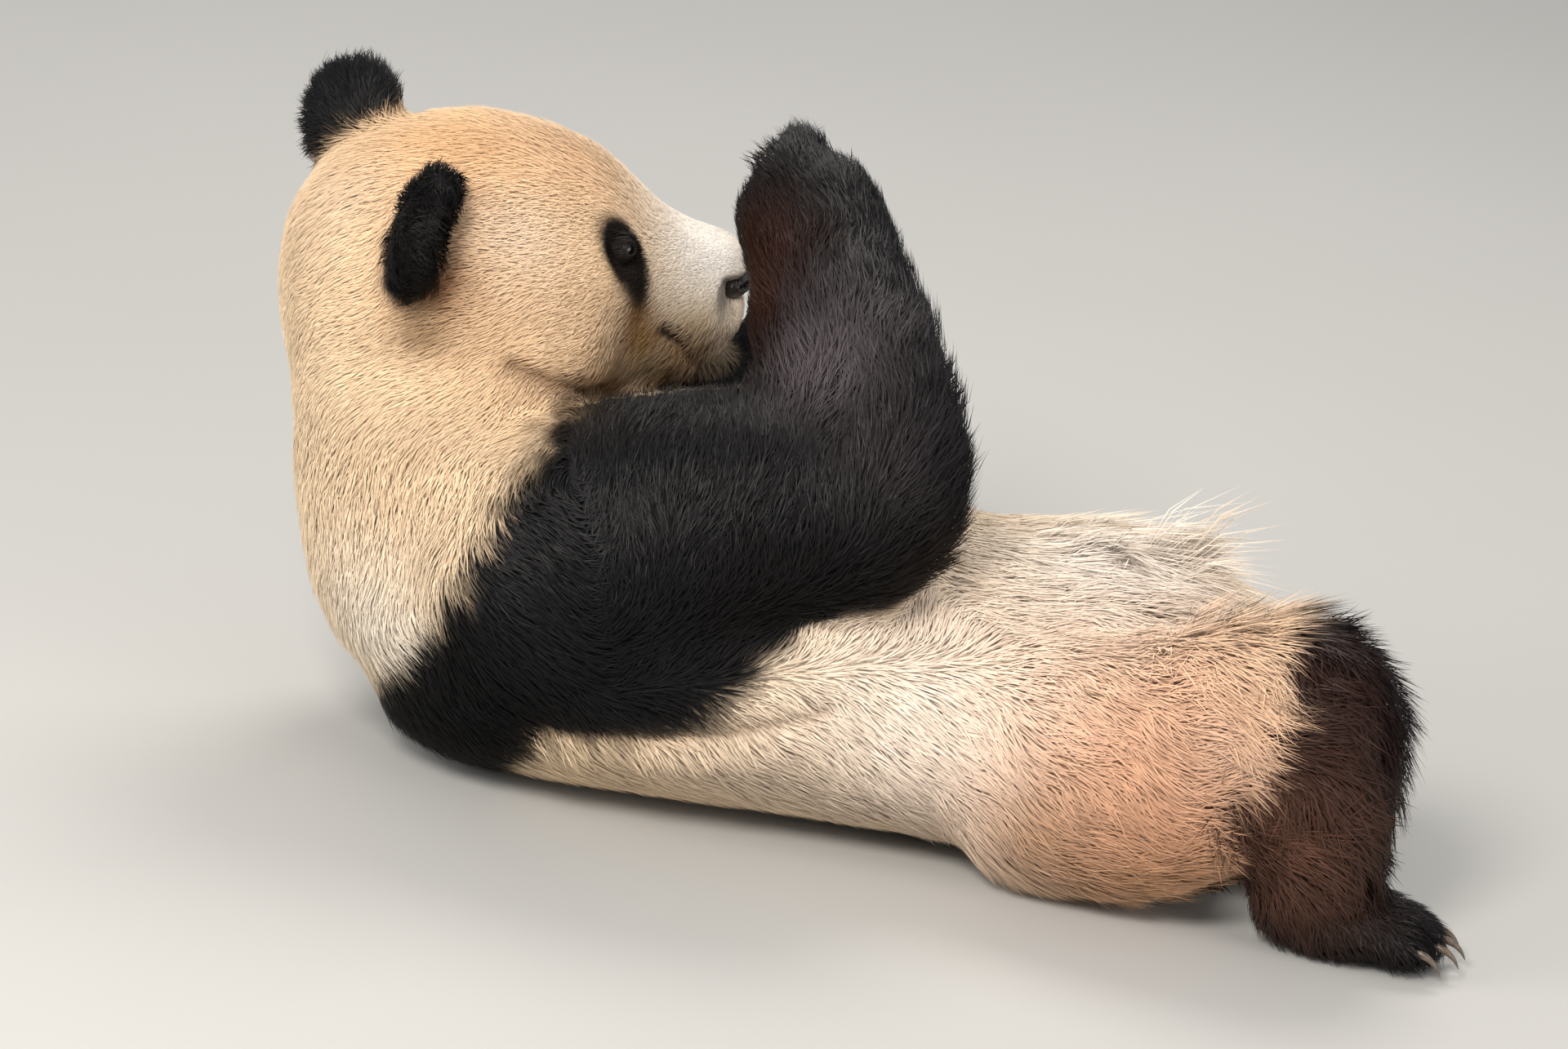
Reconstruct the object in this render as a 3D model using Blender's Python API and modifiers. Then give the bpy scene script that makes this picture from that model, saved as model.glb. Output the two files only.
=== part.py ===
"""A giant panda at life size, lying on its back with its head raised and its right paw lifted to its mouth.

The body is modelled whole, from lofts and rounded masses along its real joints, fused into one flesh form
out to the tips of the coat, and then parted with thin cuts at the neck, shoulders, elbows, wrists, hips,
knees, ankles, ears and tail. Eyes, nose and claws are pieces of their own, each set in a socket.

Metres, +Z up. The animal's head points to -X and its feet to +X; its right side is at -Y. The origin is on
the floor under the middle of the pelvis.
"""

import math

import bmesh
import bpy
from mathutils import Matrix, Vector

# ---------------------------------------------------------------- driving sizes

VOXEL = 0.006  # grid on which the masses are fused
BODY_SOFTENING = 12  # rounds that soften the joins between the large masses
PAW_SOFTENING = 3  # rounds after the paws are added, few enough to keep the toes
BODY_TRIANGLES = 3500  # triangles of the flesh form before it is parted
CUT = 0.0004  # width of each cut and of the gap round each inset piece
RING_SIDES = 28  # points round a lofted section

# The head has its own frame: forward to the nose, left, and up to the crown, from the point midway
# between the middles of the two ears.
HEAD_ORIGIN = Vector((-0.664, -0.010, 0.505))
HEAD_YAW = math.radians(15.0)  # the face turns this far to the animal's left
HEAD_PITCH = math.radians(9.0)  # and lifts this far
HEAD_ROLL = math.radians(10.0)  # and the crown leans this far to the right
HEAD_TURN = (
    Matrix.Rotation(HEAD_YAW, 4, "Z")
    @ Matrix.Rotation(-HEAD_PITCH, 4, "Y")
    @ Matrix.Rotation(HEAD_ROLL, 4, "X")
)
HEAD_FRAME = Matrix.Translation(HEAD_ORIGIN) @ HEAD_TURN

# Sections of the head from the back of the skull to the lips, in the head's frame:
# (forward, height of the middle, half-width, half-height, squareness).
HEAD_SECTIONS = (
    (-0.088, -0.125, 0.040, 0.040, 2.0),
    (-0.072, -0.118, 0.084, 0.080, 2.0),
    (-0.040, -0.108, 0.120, 0.103, 2.0),
    (0.000, -0.097, 0.140, 0.111, 2.0),
    (0.045, -0.090, 0.148, 0.114, 2.0),
    (0.090, -0.090, 0.147, 0.117, 2.0),
    (0.130, -0.098, 0.137, 0.116, 2.0),
    (0.165, -0.109, 0.118, 0.110, 2.1),
    (0.195, -0.122, 0.094, 0.099, 2.2),
    (0.222, -0.135, 0.073, 0.085, 2.3),
    (0.250, -0.146, 0.060, 0.071, 2.4),
    (0.275, -0.154, 0.052, 0.059, 2.4),
    (0.294, -0.159, 0.043, 0.048, 2.3),
    (0.306, -0.162, 0.028, 0.034, 2.2),
)
CHEEK_AT = (0.095, 0.086, -0.126)
CHEEK_RADII = (0.092, 0.068, 0.078)
EYE_AT = (0.1815, 0.0680, -0.0640)
EYE_OUTWARD = (0.52, 0.74, 0.42)  # the way the left eye looks
EYE_RADIUS = 0.0115
EYE_BOWL = (0.010, 0.019, 0.016)  # depth, width and height of the hollow that the eye sits in
EYE_SINK = 0.0050  # the eyeball's middle behind the surface round it
NOSE_AT = (0.2985, 0.0, -0.1360)
NOSE_RADII = (0.017, 0.026, 0.017)
NOSE_TRIANGLES = 110

# Each ear's middle in the head's frame, how far its front turns outwards, and its thickness, width and reach.
EARS = {
    "right_ear": ((0.012, -0.1160, -0.006), 25.0, (0.028, 0.058, 0.056)),
    "left_ear": ((-0.008, 0.1120, -0.010), 42.0, (0.027, 0.053, 0.053)),
}
EAR_LEAN = 42.0  # degrees from upright to each ear's own axis
EAR_BOWL = (0.55, 0.66, 0.62)  # the hollow's thickness, width and reach as shares of the ear's
EAR_TRIANGLES = 150

# Sections of the trunk across the spine: (along, height of the middle, half-width, half-height).
TRUNK_SECTIONS = (
    (-0.632, 0.152, 0.085, 0.080),
    (-0.605, 0.155, 0.150, 0.128),
    (-0.560, 0.158, 0.190, 0.155),
    (-0.510, 0.160, 0.210, 0.163),
    (-0.440, 0.160, 0.226, 0.164),
    (-0.360, 0.158, 0.231, 0.162),
    (-0.270, 0.150, 0.226, 0.154),
    (-0.190, 0.132, 0.221, 0.136),
    (-0.120, 0.125, 0.219, 0.129),
    (-0.040, 0.129, 0.216, 0.133),
    (0.025, 0.128, 0.204, 0.131),
    (0.075, 0.115, 0.170, 0.118),
    (0.110, 0.100, 0.118, 0.092),
    (0.128, 0.092, 0.060, 0.055),
)

# Limbs and neck as chains of round sections: (place, half-width, half-depth).
NECK_CHAIN = (
    ((-0.606, 0.014, 0.425), 0.112, 0.115),
    ((-0.606, 0.010, 0.370), 0.128, 0.124),
    ((-0.594, 0.004, 0.305), 0.145, 0.128),
    ((-0.574, 0.000, 0.240), 0.170, 0.138),
    ((-0.540, 0.000, 0.185), 0.195, 0.150),
    ((-0.470, 0.000, 0.170), 0.200, 0.150),
)
RIGHT_ARM = (
    ((-0.490, -0.122, 0.200), 0.125),
    ((-0.400, -0.142, 0.256), 0.120),
    ((-0.300, -0.156, 0.296), 0.104),
    ((-0.224, -0.156, 0.318), 0.086),
    ((-0.246, -0.105, 0.391), 0.080),
    ((-0.284, -0.030, 0.455), 0.074),
    ((-0.308, 0.016, 0.500), 0.067),
)
LEFT_ARM = (
    ((-0.490, 0.122, 0.198), 0.125),
    ((-0.405, 0.150, 0.232), 0.118),
    ((-0.310, 0.180, 0.252), 0.098),
    ((-0.258, 0.200, 0.262), 0.080),
    ((-0.262, 0.214, 0.308), 0.071),
    ((-0.284, 0.220, 0.346), 0.061),
    ((-0.300, 0.222, 0.376), 0.055),
)
RIGHT_LEG = (
    ((-0.040, -0.136, 0.112), 0.118),
    ((0.045, -0.170, 0.128), 0.114),
    ((0.115, -0.190, 0.180), 0.092),
    ((0.160, -0.200, 0.204), 0.077),
    ((0.176, -0.208, 0.140), 0.068),
    ((0.182, -0.212, 0.070), 0.058),
    ((0.176, -0.212, 0.040), 0.044),
)
LEFT_LEG = (
    ((-0.040, 0.130, 0.110), 0.114),
    ((0.030, 0.178, 0.098), 0.102),
    ((0.095, 0.232, 0.078), 0.082),
    ((0.132, 0.244, 0.064), 0.068),
    ((0.168, 0.190, 0.058), 0.061),
    ((0.190, 0.132, 0.050), 0.054),
    ((0.194, 0.106, 0.044), 0.047),
)
TAIL_CHAIN = (
    ((0.085, -0.020, 0.046), 0.036, 0.034),
    ((0.126, -0.044, 0.032), 0.037, 0.034),
    ((0.162, -0.066, 0.025), 0.032, 0.027),
    ((0.190, -0.082, 0.019), 0.018, 0.018),
)

# Paws: the palm's middle, which way the toes point, which way the sole faces, and the paw's length, width,
# depth and the degrees that its claws slope towards the sole.
FOREPAW = (0.105, 0.112, 0.062, 24.0)
HINDPAW = (0.150, 0.104, 0.064, 0.0)
PAWS = {
    "right_forepaw": ((-0.316, 0.030, 0.518), (-0.20, 0.16, 0.97), (-0.93, 0.28, -0.24), FOREPAW),
    "left_forepaw": ((-0.308, 0.224, 0.400), (-0.30, 0.06, 0.95), (-0.90, -0.20, -0.25), FOREPAW),
    "right_hindpaw": ((0.212, -0.212, 0.030), (1.0, -0.05, 0.0), (0.0, 0.0, -1.0), HINDPAW),
    "left_hindpaw": ((0.196, 0.068, 0.046), (0.05, -0.99, 0.0), (0.60, 0.10, -0.80), HINDPAW),
}
TOES = 5
CLAW_SECTIONS = (  # forward and down from the toe's middle, and radius
    (0.000, -0.002, 0.0040),
    (0.011, -0.002, 0.0044),
    (0.021, 0.005, 0.0030),
    (0.026, 0.014, 0.0008),
)
CLAW_ROOT = 0.06  # where a claw starts ahead of its toe's middle, as a share of the paw's length
CLAW_SIDES = 4
CLAW_SPREAD = math.radians(24.0)  # between the outermost claws

# Where the flesh is parted, from the tips of the limbs inwards. Each cell is a slanted box that takes what is
# left of the flesh beyond a joint: (name, middle of its near face, the way that faces, a hint across it,
# half-width along the hint, half-depth, middle of its far face, size of the far face as a share of the near).
UP, ALONG, ACROSS = (0.0, 0.0, 1.0), (1.0, 0.0, 0.0), (0.0, 1.0, 0.0)
OUT_RIGHT, OUT_LEFT, TO_MUZZLE = (0.0, -0.8, 0.6), (0.0, 0.8, 0.6), (-0.32, 0.55, -0.78)
CELLS = (
    ("tail", (0.112, -0.036, 0.036), (0.86, -0.50, 0.0), UP,
     0.045, 0.046, (0.218, -0.102, 0.036), 1.0),
    ("right_forepaw", (-0.296, -0.008, 0.478), (-0.24, 0.48, 0.84), ACROSS,
     0.078, 0.078, (-0.34, 0.08, 0.63), 1.0),
    ("right_forearm", (-0.232, -0.135, 0.364), (-0.36, 0.69, 0.63), TO_MUZZLE,
     0.087, 0.092, (-0.307, 0.009, 0.495), 1.0),
    ("left_forepaw", (-0.294, 0.221, 0.366), (-0.30, 0.06, 0.95), ACROSS,
     0.067, 0.064, (-0.345, 0.231, 0.53), 1.0),
    ("left_forearm", (-0.255, 0.210, 0.292), (0.40, 0.0, 0.92), ACROSS,
     0.075, 0.10, (-0.297, 0.218, 0.43), 1.0),
    ("right_hindpaw", (0.222, -0.212, 0.066), (0.0, 0.0, -1.0), ALONG,
     0.113, 0.09, (0.222, -0.212, -0.02), 1.0),
    ("right_shank", (0.165, -0.205, 0.187), (0.50, 0.0, -0.86), ACROSS,
     0.10, 0.10, (0.255, -0.205, 0.032), 1.0),
    ("left_hindpaw", (0.205, 0.126, 0.060), (0.05, -0.99, 0.0), UP,
     0.08, 0.068, (0.213, -0.045, 0.060), 1.0),
    ("left_shank", (0.150, 0.222, 0.060), (0.55, -0.80, 0.0), UP,
     0.12, 0.12, (0.238, 0.094, 0.060), 1.0),
    ("right_thigh", (0.010, -0.130, 0.120), (0.80, -0.60, 0.0), UP,
     0.27, 0.135, (0.266, -0.322, 0.120), 1.0),
    ("left_thigh", (0.000, 0.130, 0.120), (0.68, 0.73, 0.0), UP,
     0.27, 0.16, (0.218, 0.364, 0.120), 1.0),
    ("right_upper_arm", (-0.452, -0.190, 0.262), (0.97, 0.0, 0.24), OUT_RIGHT,
     0.125, 0.12, (-0.13, -0.19, 0.342), 0.85),
    ("left_upper_arm", (-0.452, 0.200, 0.246), (0.98, 0.1, 0.12), OUT_LEFT,
     0.115, 0.12, (-0.15, 0.232, 0.287), 0.8),
    ("head", (-0.600, 0.000, 0.305), (-0.14, -0.05, 0.99), ACROSS,
     0.30, 0.34, (-0.656, -0.02, 0.705), 1.0),
    ("neck", (-0.590, 0.000, 0.184), (-0.82, 0.00, 0.57), ACROSS,
     0.30, 0.34, (-0.918, 0.000, 0.412), 1.0),
    ("belly", (-0.205, 0.000, 0.120), (1.0, 0.0, 0.10), ACROSS,
     0.30, 0.20, (0.200, 0.000, 0.160), 1.0),
)

COLOURS = {
    "white coat": ((0.78, 0.64, 0.48), 0.85),
    "black coat": ((0.015, 0.013, 0.012), 0.80),
    "nose leather": ((0.012, 0.010, 0.010), 0.45),
    "horn": ((0.10, 0.08, 0.06), 0.50),
    "eye": ((0.010, 0.006, 0.004), 0.10),
}


# ---------------------------------------------------------------- helpers


def collection(name):
    made = bpy.data.collections.new(name)
    bpy.context.scene.collection.children.link(made)
    return made


def material(name):
    colour, roughness = COLOURS[name]
    made = bpy.data.materials.new(name)
    made.use_nodes = True
    shader = made.node_tree.nodes["Principled BSDF"]
    shader.inputs["Base Color"].default_value = (*colour, 1.0)
    shader.inputs["Roughness"].default_value = roughness
    shader.inputs["Metallic"].default_value = 0.0
    return made


def object_of(name, bm, where):
    mesh = bpy.data.meshes.new(name)
    bmesh.ops.recalc_face_normals(bm, faces=bm.faces)
    if bm.calc_volume(signed=True) < 0:
        bmesh.ops.reverse_faces(bm, faces=bm.faces)
    bm.to_mesh(mesh)
    bm.free()
    made = bpy.data.objects.new(name, mesh)
    where.objects.link(made)
    return made


def apply_modifiers(obj):
    """The object's evaluated mesh takes the place of its mesh and modifiers."""
    graph = bpy.context.evaluated_depsgraph_get()
    mesh = bpy.data.meshes.new_from_object(obj.evaluated_get(graph))
    obj.modifiers.clear()
    old, obj.data = obj.data, mesh
    bpy.data.meshes.remove(old)


def loft(bm, rings):
    """A closed body through rings of equal count, each a list of points, capped by a fan at either end."""
    loops = [[bm.verts.new(point) for point in ring] for ring in rings]
    count = len(loops[0])
    for near, far in zip(loops, loops[1:]):
        for i in range(count):
            j = (i + 1) % count
            bm.faces.new((near[i], near[j], far[j], far[i]))
    for loop in (loops[0], loops[-1]):
        middle = bm.verts.new(sum((v.co for v in loop), Vector()) / count)
        for i in range(count):
            bm.faces.new((loop[i], loop[(i + 1) % count], middle))


def section(middle, side, up, half_width, half_height, power=2.0):
    """A superellipse round the middle, in the plane of side and up."""
    ring = []
    for i in range(RING_SIDES):
        turn = math.tau * i / RING_SIDES
        c = math.copysign(abs(math.cos(turn)) ** (2.0 / power), math.cos(turn))
        s = math.copysign(abs(math.sin(turn)) ** (2.0 / power), math.sin(turn))
        ring.append(middle + side * (half_width * c) + up * (half_height * s))
    return ring


def smooth_path(values, steps=4):
    """Catmull-Rom points through tuples of numbers, steps to each span."""
    rows = [values[0], *values, values[-1]]
    path = []
    for a, b, c, d in zip(rows, rows[1:], rows[2:], rows[3:]):
        for k in range(steps):
            t = k / steps
            path.append(
                [
                    0.5
                    * (
                        2 * q
                        + (r - p) * t
                        + (2 * p - 5 * q + 4 * r - s) * t * t
                        + (3 * q - p - 3 * r + s) * t**3
                    )
                    for p, q, r, s in zip(a, b, c, d)
                ]
            )
    path.append(list(values[-1]))
    return path


def chain(bm, links, side_hint, round_ends=True):
    """A limb through (place, half-width, half-depth) links, its width along side_hint, with rounded ends."""
    path = smooth_path([(*place, wide, deep) for place, wide, deep in links])
    places = [Vector(row[:3]) for row in path]
    rings = []
    for i, row in enumerate(path):
        along = (places[min(i + 1, len(path) - 1)] - places[max(i - 1, 0)]).normalized()
        side = (side_hint - along * side_hint.dot(along)).normalized()
        up = along.cross(side)
        ends = {0: -1.0, len(path) - 1: 1.0}
        if round_ends and i in ends:
            grown = []
            for lift in (0.92, 0.70, 0.38):
                reach = math.sqrt(1 - lift * lift)
                middle = places[i] + along * (ends[i] * lift * min(row[3], row[4]) * 0.9)
                grown.append(section(middle, side, up, row[3] * reach, row[4] * reach))
            at_end = section(places[i], side, up, row[3], row[4])
            rings += [*grown, at_end] if i == 0 else [at_end, *reversed(grown)]
        else:
            rings.append(section(places[i], side, up, row[3], row[4]))
    loft(bm, rings)


def ball(bm, frame, middle, radii, rounds=24):
    """An ellipsoid in a frame."""
    place = frame @ Matrix.Translation(Vector(middle)) @ Matrix.Diagonal((*radii, 1.0))
    bmesh.ops.create_uvsphere(bm, u_segments=rounds, v_segments=rounds // 2, radius=1.0, matrix=place)


def facing(forward, down):
    """A frame whose X points forward and whose -Z points down, as near as forward allows."""
    x = Vector(forward).normalized()
    z = -(Vector(down) - x * Vector(down).dot(x)).normalized()
    y = z.cross(x)
    return Matrix((x, y, z)).transposed().to_4x4()


# ---------------------------------------------------------------- masses of the body


def add_head(bm):
    turn = HEAD_FRAME.to_3x3()
    side = turn @ Vector((0, 1, 0))
    up = turn @ Vector((0, 0, 1))
    rings = []
    for forward, height, wide, tall, power in smooth_path(HEAD_SECTIONS, 2):
        middle = HEAD_FRAME @ Vector((forward, 0.0, height))
        rings.append(section(middle, side, up, wide, tall, power))
    loft(bm, rings)
    for hand in (-1, 1):
        ball(bm, HEAD_FRAME, (CHEEK_AT[0], hand * CHEEK_AT[1], CHEEK_AT[2]), CHEEK_RADII)


def add_trunk(bm):
    rings = []
    for along, height, wide, tall in smooth_path(TRUNK_SECTIONS, 2):
        rings.append(section(Vector((along, 0.0, height)), Vector((0, 1, 0)), Vector((0, 0, 1)), wide, tall))
    loft(bm, rings)
    chain(bm, NECK_CHAIN, Vector((0, 1, 0)))
    chain(bm, TAIL_CHAIN, Vector((0.4, 0.9, 0)))


def add_limb(bm, links):
    chain(bm, [(place, radius, radius) for place, radius in links], Vector((0.2, 1, 0.1)))


def paw_frame(name):
    middle, forward, down, _ = PAWS[name]
    return Matrix.Translation(Vector(middle)) @ facing(forward, down)


def toe_places(name):
    """Each toe's middle in its paw's frame, fanned across the front of the paw."""
    length, width, depth, _ = PAWS[name][3]
    places = []
    for i in range(TOES):
        across = (i / (TOES - 1) - 0.5) * 2
        forward = length * (0.50 - 0.13 * across * across)
        places.append(Vector((forward, across * width * 0.40, -depth * 0.08)))
    return places


def add_paw(bm, name):
    frame = paw_frame(name)
    length, width, depth, _ = PAWS[name][3]
    half = (length * 0.52, width * 0.5, depth * 0.5)
    ball(bm, frame, (0, 0, 0), half)
    ball(bm, frame, (length * 0.22, 0, 0), (half[0] * 0.62, half[1] * 0.96, half[2] * 0.86))
    for place in toe_places(name):
        ball(bm, frame, place, (length * 0.15, width * 0.115, depth * 0.34))


# ---------------------------------------------------------------- fusing and thinning


def remeshed(obj, softening):
    remesh = obj.modifiers.new("fuse", "REMESH")
    remesh.mode = "VOXEL"
    remesh.voxel_size = VOXEL
    soften = obj.modifiers.new("soften", "SMOOTH")
    soften.factor = 0.6
    soften.iterations = softening
    apply_modifiers(obj)


def thinned(obj, triangles):
    thin = obj.modifiers.new("thin", "DECIMATE")
    thin.ratio = triangles / sum(len(face.vertices) - 2 for face in obj.data.polygons)
    apply_modifiers(obj)


def flesh(where):
    """The whole body but the ears, as one skin with its joins softened, thinned to few faces."""
    masses = bmesh.new()
    add_head(masses)
    add_trunk(masses)
    for limb in (RIGHT_ARM, LEFT_ARM, RIGHT_LEG, LEFT_LEG):
        add_limb(masses, limb)
    body = object_of("body", masses, where)
    remeshed(body, BODY_SOFTENING)
    both = bmesh.new()
    both.from_mesh(body.data)
    for name in PAWS:
        add_paw(both, name)
    both.to_mesh(body.data)
    both.free()
    remeshed(body, PAW_SOFTENING)
    thinned(body, BODY_TRIANGLES)
    return body


# ---------------------------------------------------------------- cutting


def boolean(obj, cutter, operation):
    cut = obj.modifiers.new(operation.lower(), "BOOLEAN")
    cut.operation = operation
    cut.object = cutter
    cut.solver = "EXACT"
    apply_modifiers(obj)


def copy_of(obj, name, where):
    made = bpy.data.objects.new(name, obj.data.copy())
    where.objects.link(made)
    return made


def swollen(obj, name, where, gap=CUT):
    """A copy whose surface stands out by the gap, to cut the space round a piece."""
    made = copy_of(obj, name, where)
    bm = bmesh.new()
    bm.from_mesh(made.data)
    bm.normal_update()
    for vertex in bm.verts:
        vertex.co += vertex.normal * gap
    bm.to_mesh(made.data)
    bm.free()
    return made


def slanted_box(name, near, far, out, hint, half_width, half_depth, where, taper):
    """A box whose two end faces look along out, with near and far as their middles."""
    side = (Vector(hint) - out * Vector(hint).dot(out)).normalized()
    across = out.cross(side)
    bm = bmesh.new()
    bmesh.ops.create_cube(bm, size=2.0)
    for corner in bm.verts:
        x, y, z = corner.co
        middle, share = (far, taper) if x > 0 else (near, 1.0)
        corner.co = middle + side * (y * half_width * share) + across * (z * half_depth * share)
    return object_of(name, bm, where)


def islands_of(bm):
    """The vertices of each separate part of a mesh."""
    left, islands = set(bm.verts), []
    while left:
        island, edge = set(), [left.pop()]
        while edge:
            vertex = edge.pop()
            island.add(vertex)
            near = {e.other_vert(vertex) for e in vertex.link_edges} & left
            left -= near
            edge += near
        islands.append(island)
    return islands


def keep_largest(obj):
    """Drops the crumbs that a cut leaves beside the piece."""
    bm = bmesh.new()
    bm.from_mesh(obj.data)
    kept = max(islands_of(bm), key=len)
    bmesh.ops.delete(bm, geom=[v for v in bm.verts if v not in kept], context="VERTS")
    bm.to_mesh(obj.data)
    bm.free()


def part_off(body, cell, parts, cutters):
    """The flesh inside a cell becomes a node, and the cell, grown by the cut, is taken from the rest."""
    name, near, facing_way, hint, half_width, half_depth, far, taper = cell
    out = Vector(facing_way).normalized()
    near, far = Vector(near), Vector(far)
    grown = (half_width + CUT, half_depth + CUT)
    box = slanted_box(name + " box", near, far, out, hint, half_width, half_depth, cutters, taper)
    gap = slanted_box(name + " gap", near - out * CUT, far + out * CUT, out, hint, *grown, cutters, taper)
    piece = copy_of(body, name, parts)
    boolean(piece, box, "INTERSECT")
    boolean(body, gap, "DIFFERENCE")
    keep_largest(piece)
    keep_largest(body)
    return piece


def swollen_cut(body, piece, cutters):
    """A socket in the body for an inset piece, with the gap round it."""
    boolean(body, swollen(piece, piece.name + " socket", cutters), "DIFFERENCE")


# ---------------------------------------------------------------- inset pieces


def add_ear(name, head, parts, cutters):
    """A thick, cupped, round ear that stands on the skull, cut to the skull's shape with a gap."""
    (forward, across, height), turn_out, (thick, wide, reach) = EARS[name]
    hand = math.copysign(1, across)
    lean = Matrix.Rotation(-hand * math.radians(EAR_LEAN), 4, "X")
    turn = Matrix.Rotation(hand * math.radians(turn_out), 4, "Z")
    frame = HEAD_FRAME @ Matrix.Translation((forward, across, height)) @ lean @ turn
    bm = bmesh.new()
    ball(bm, frame, (0, 0, 0), (thick, wide, reach))
    ear = object_of(name, bm, parts)
    bm = bmesh.new()
    bowl = [size * share for size, share in zip((thick, wide, reach), EAR_BOWL)]
    ball(bm, frame, (thick * 0.95, 0, reach * 0.05), bowl)
    boolean(ear, object_of(name + " bowl", bm, cutters), "DIFFERENCE")
    thinned(ear, EAR_TRIANGLES)
    boolean(ear, swollen(head, name + " seat", cutters), "DIFFERENCE")
    keep_largest(ear)
    return ear


def add_eye(name, hand, head, parts, cutters):
    """An eyeball behind the surface of the face, in a shallow hollow that opens forwards."""
    place = Vector((EYE_AT[0], hand * EYE_AT[1], EYE_AT[2]))
    outward = Vector((EYE_OUTWARD[0], hand * EYE_OUTWARD[1], EYE_OUTWARD[2])).normalized()
    out = HEAD_FRAME.to_3x3() @ outward
    start = HEAD_FRAME @ (place + outward * 0.08)
    hit, surface, _, _ = head.ray_cast(start, -out)
    assert hit
    middle = surface - out * EYE_SINK
    bm = bmesh.new()
    bmesh.ops.create_icosphere(bm, subdivisions=2, radius=EYE_RADIUS, matrix=Matrix.Translation(middle))
    eye = object_of(name, bm, parts)
    bm = bmesh.new()
    hollow = Matrix.Translation(surface) @ facing(out, -HEAD_FRAME.to_3x3().col[2])
    ball(bm, hollow, (0.004, 0, 0), EYE_BOWL, 12)
    boolean(head, object_of(name + " bowl", bm, cutters), "DIFFERENCE")
    swollen_cut(head, eye, cutters)
    return eye


def add_nose(head, parts, cutters):
    bm = bmesh.new()
    ball(bm, HEAD_FRAME, NOSE_AT, NOSE_RADII)
    nose = object_of("nose", bm, parts)
    thinned(nose, NOSE_TRIANGLES)
    swollen_cut(head, nose, cutters)
    return nose


def add_claws(paw_name, paw, parts, cutters):
    """Five curved claws, each rooted in its toe."""
    frame = paw_frame(paw_name)
    length, _, _, slope = PAWS[paw_name][3]
    drop = Matrix.Rotation(math.radians(slope), 4, "Y")
    made = []
    for i, place in enumerate(toe_places(paw_name)):
        spread = (i / (TOES - 1) - 0.5) * CLAW_SPREAD
        toe = frame @ Matrix.Translation(place) @ Matrix.Rotation(spread, 4, "Z") @ drop
        rings = []
        for forward, down, radius in CLAW_SECTIONS:
            ring = []
            for k in range(CLAW_SIDES):
                turn = math.tau * k / CLAW_SIDES
                across = (0, math.cos(turn) * radius, math.sin(turn) * radius * 1.25)
                ring.append(toe @ (Vector((length * CLAW_ROOT + forward, 0, -down)) + Vector(across)))
            rings.append(ring)
        bm = bmesh.new()
        loft(bm, rings)
        claw = object_of(f"{paw_name}_claw_{i + 1}", bm, parts)
        swollen_cut(paw, claw, cutters)
        made.append(claw)
    return made


def rest_on_floor(obj, cutters):
    """A small flat where a piece meets the floor."""
    bm = bmesh.new()
    bmesh.ops.create_cube(bm, size=2.0, matrix=Matrix.Translation((0, 0, -2.0)) @ Matrix.Scale(2.0, 4))
    floor = object_of(obj.name + " floor", bm, cutters)
    boolean(obj, floor, "DIFFERENCE")


# ---------------------------------------------------------------- the animal


def main():
    for obj in list(bpy.data.objects):
        bpy.data.objects.remove(obj)
    parts = collection("giant panda")
    cutters = collection("cutters")
    cutters.hide_render = True
    body = flesh(parts)
    rest_on_floor(body, cutters)
    nodes = {name: add_ear(name, body, parts, cutters) for name in EARS}
    nodes["nose"] = add_nose(body, parts, cutters)
    nodes["right_eye"] = add_eye("right_eye", -1, body, parts, cutters)
    nodes["left_eye"] = add_eye("left_eye", 1, body, parts, cutters)
    for cell in CELLS:
        nodes[cell[0]] = part_off(body, cell, parts, cutters)
    body.name = "chest"
    nodes["chest"] = body
    claws = [claw for name in PAWS for claw in add_claws(name, nodes[name], parts, cutters)]
    finishes = {name: material(name) for name in COLOURS}
    for name, node in nodes.items():
        node.data.materials.clear()
        node.data.materials.append(finishes[finish_of(name)])
    for claw in claws:
        claw.data.materials.append(finishes["horn"])
    for helper in list(cutters.objects):
        helper.hide_render = True
        helper.display_type = "WIRE"


def finish_of(name):
    if name == "nose":
        return "nose leather"
    if name.endswith("eye"):
        return "eye"
    if name in ("head", "neck", "belly", "tail") or name.endswith("thigh"):
        return "white coat"
    return "black coat"


main()
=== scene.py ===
# %% [markdown]
# # A giant panda in its coat
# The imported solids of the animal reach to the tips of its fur. Here they get their looks. One skin takes the
# place of every node of flesh and lies deeper than the solids by the depth of the coat, then thousands of
# small closed tufts grow from it along the lie of the hair and bring the outline back to where it was.
# Eyes, nose and claws stay pieces of their own.

import math

import bmesh
import bpy
import numpy as np
from mathutils import Matrix, Vector, noise
from mathutils.bvhtree import BVHTree


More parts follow.
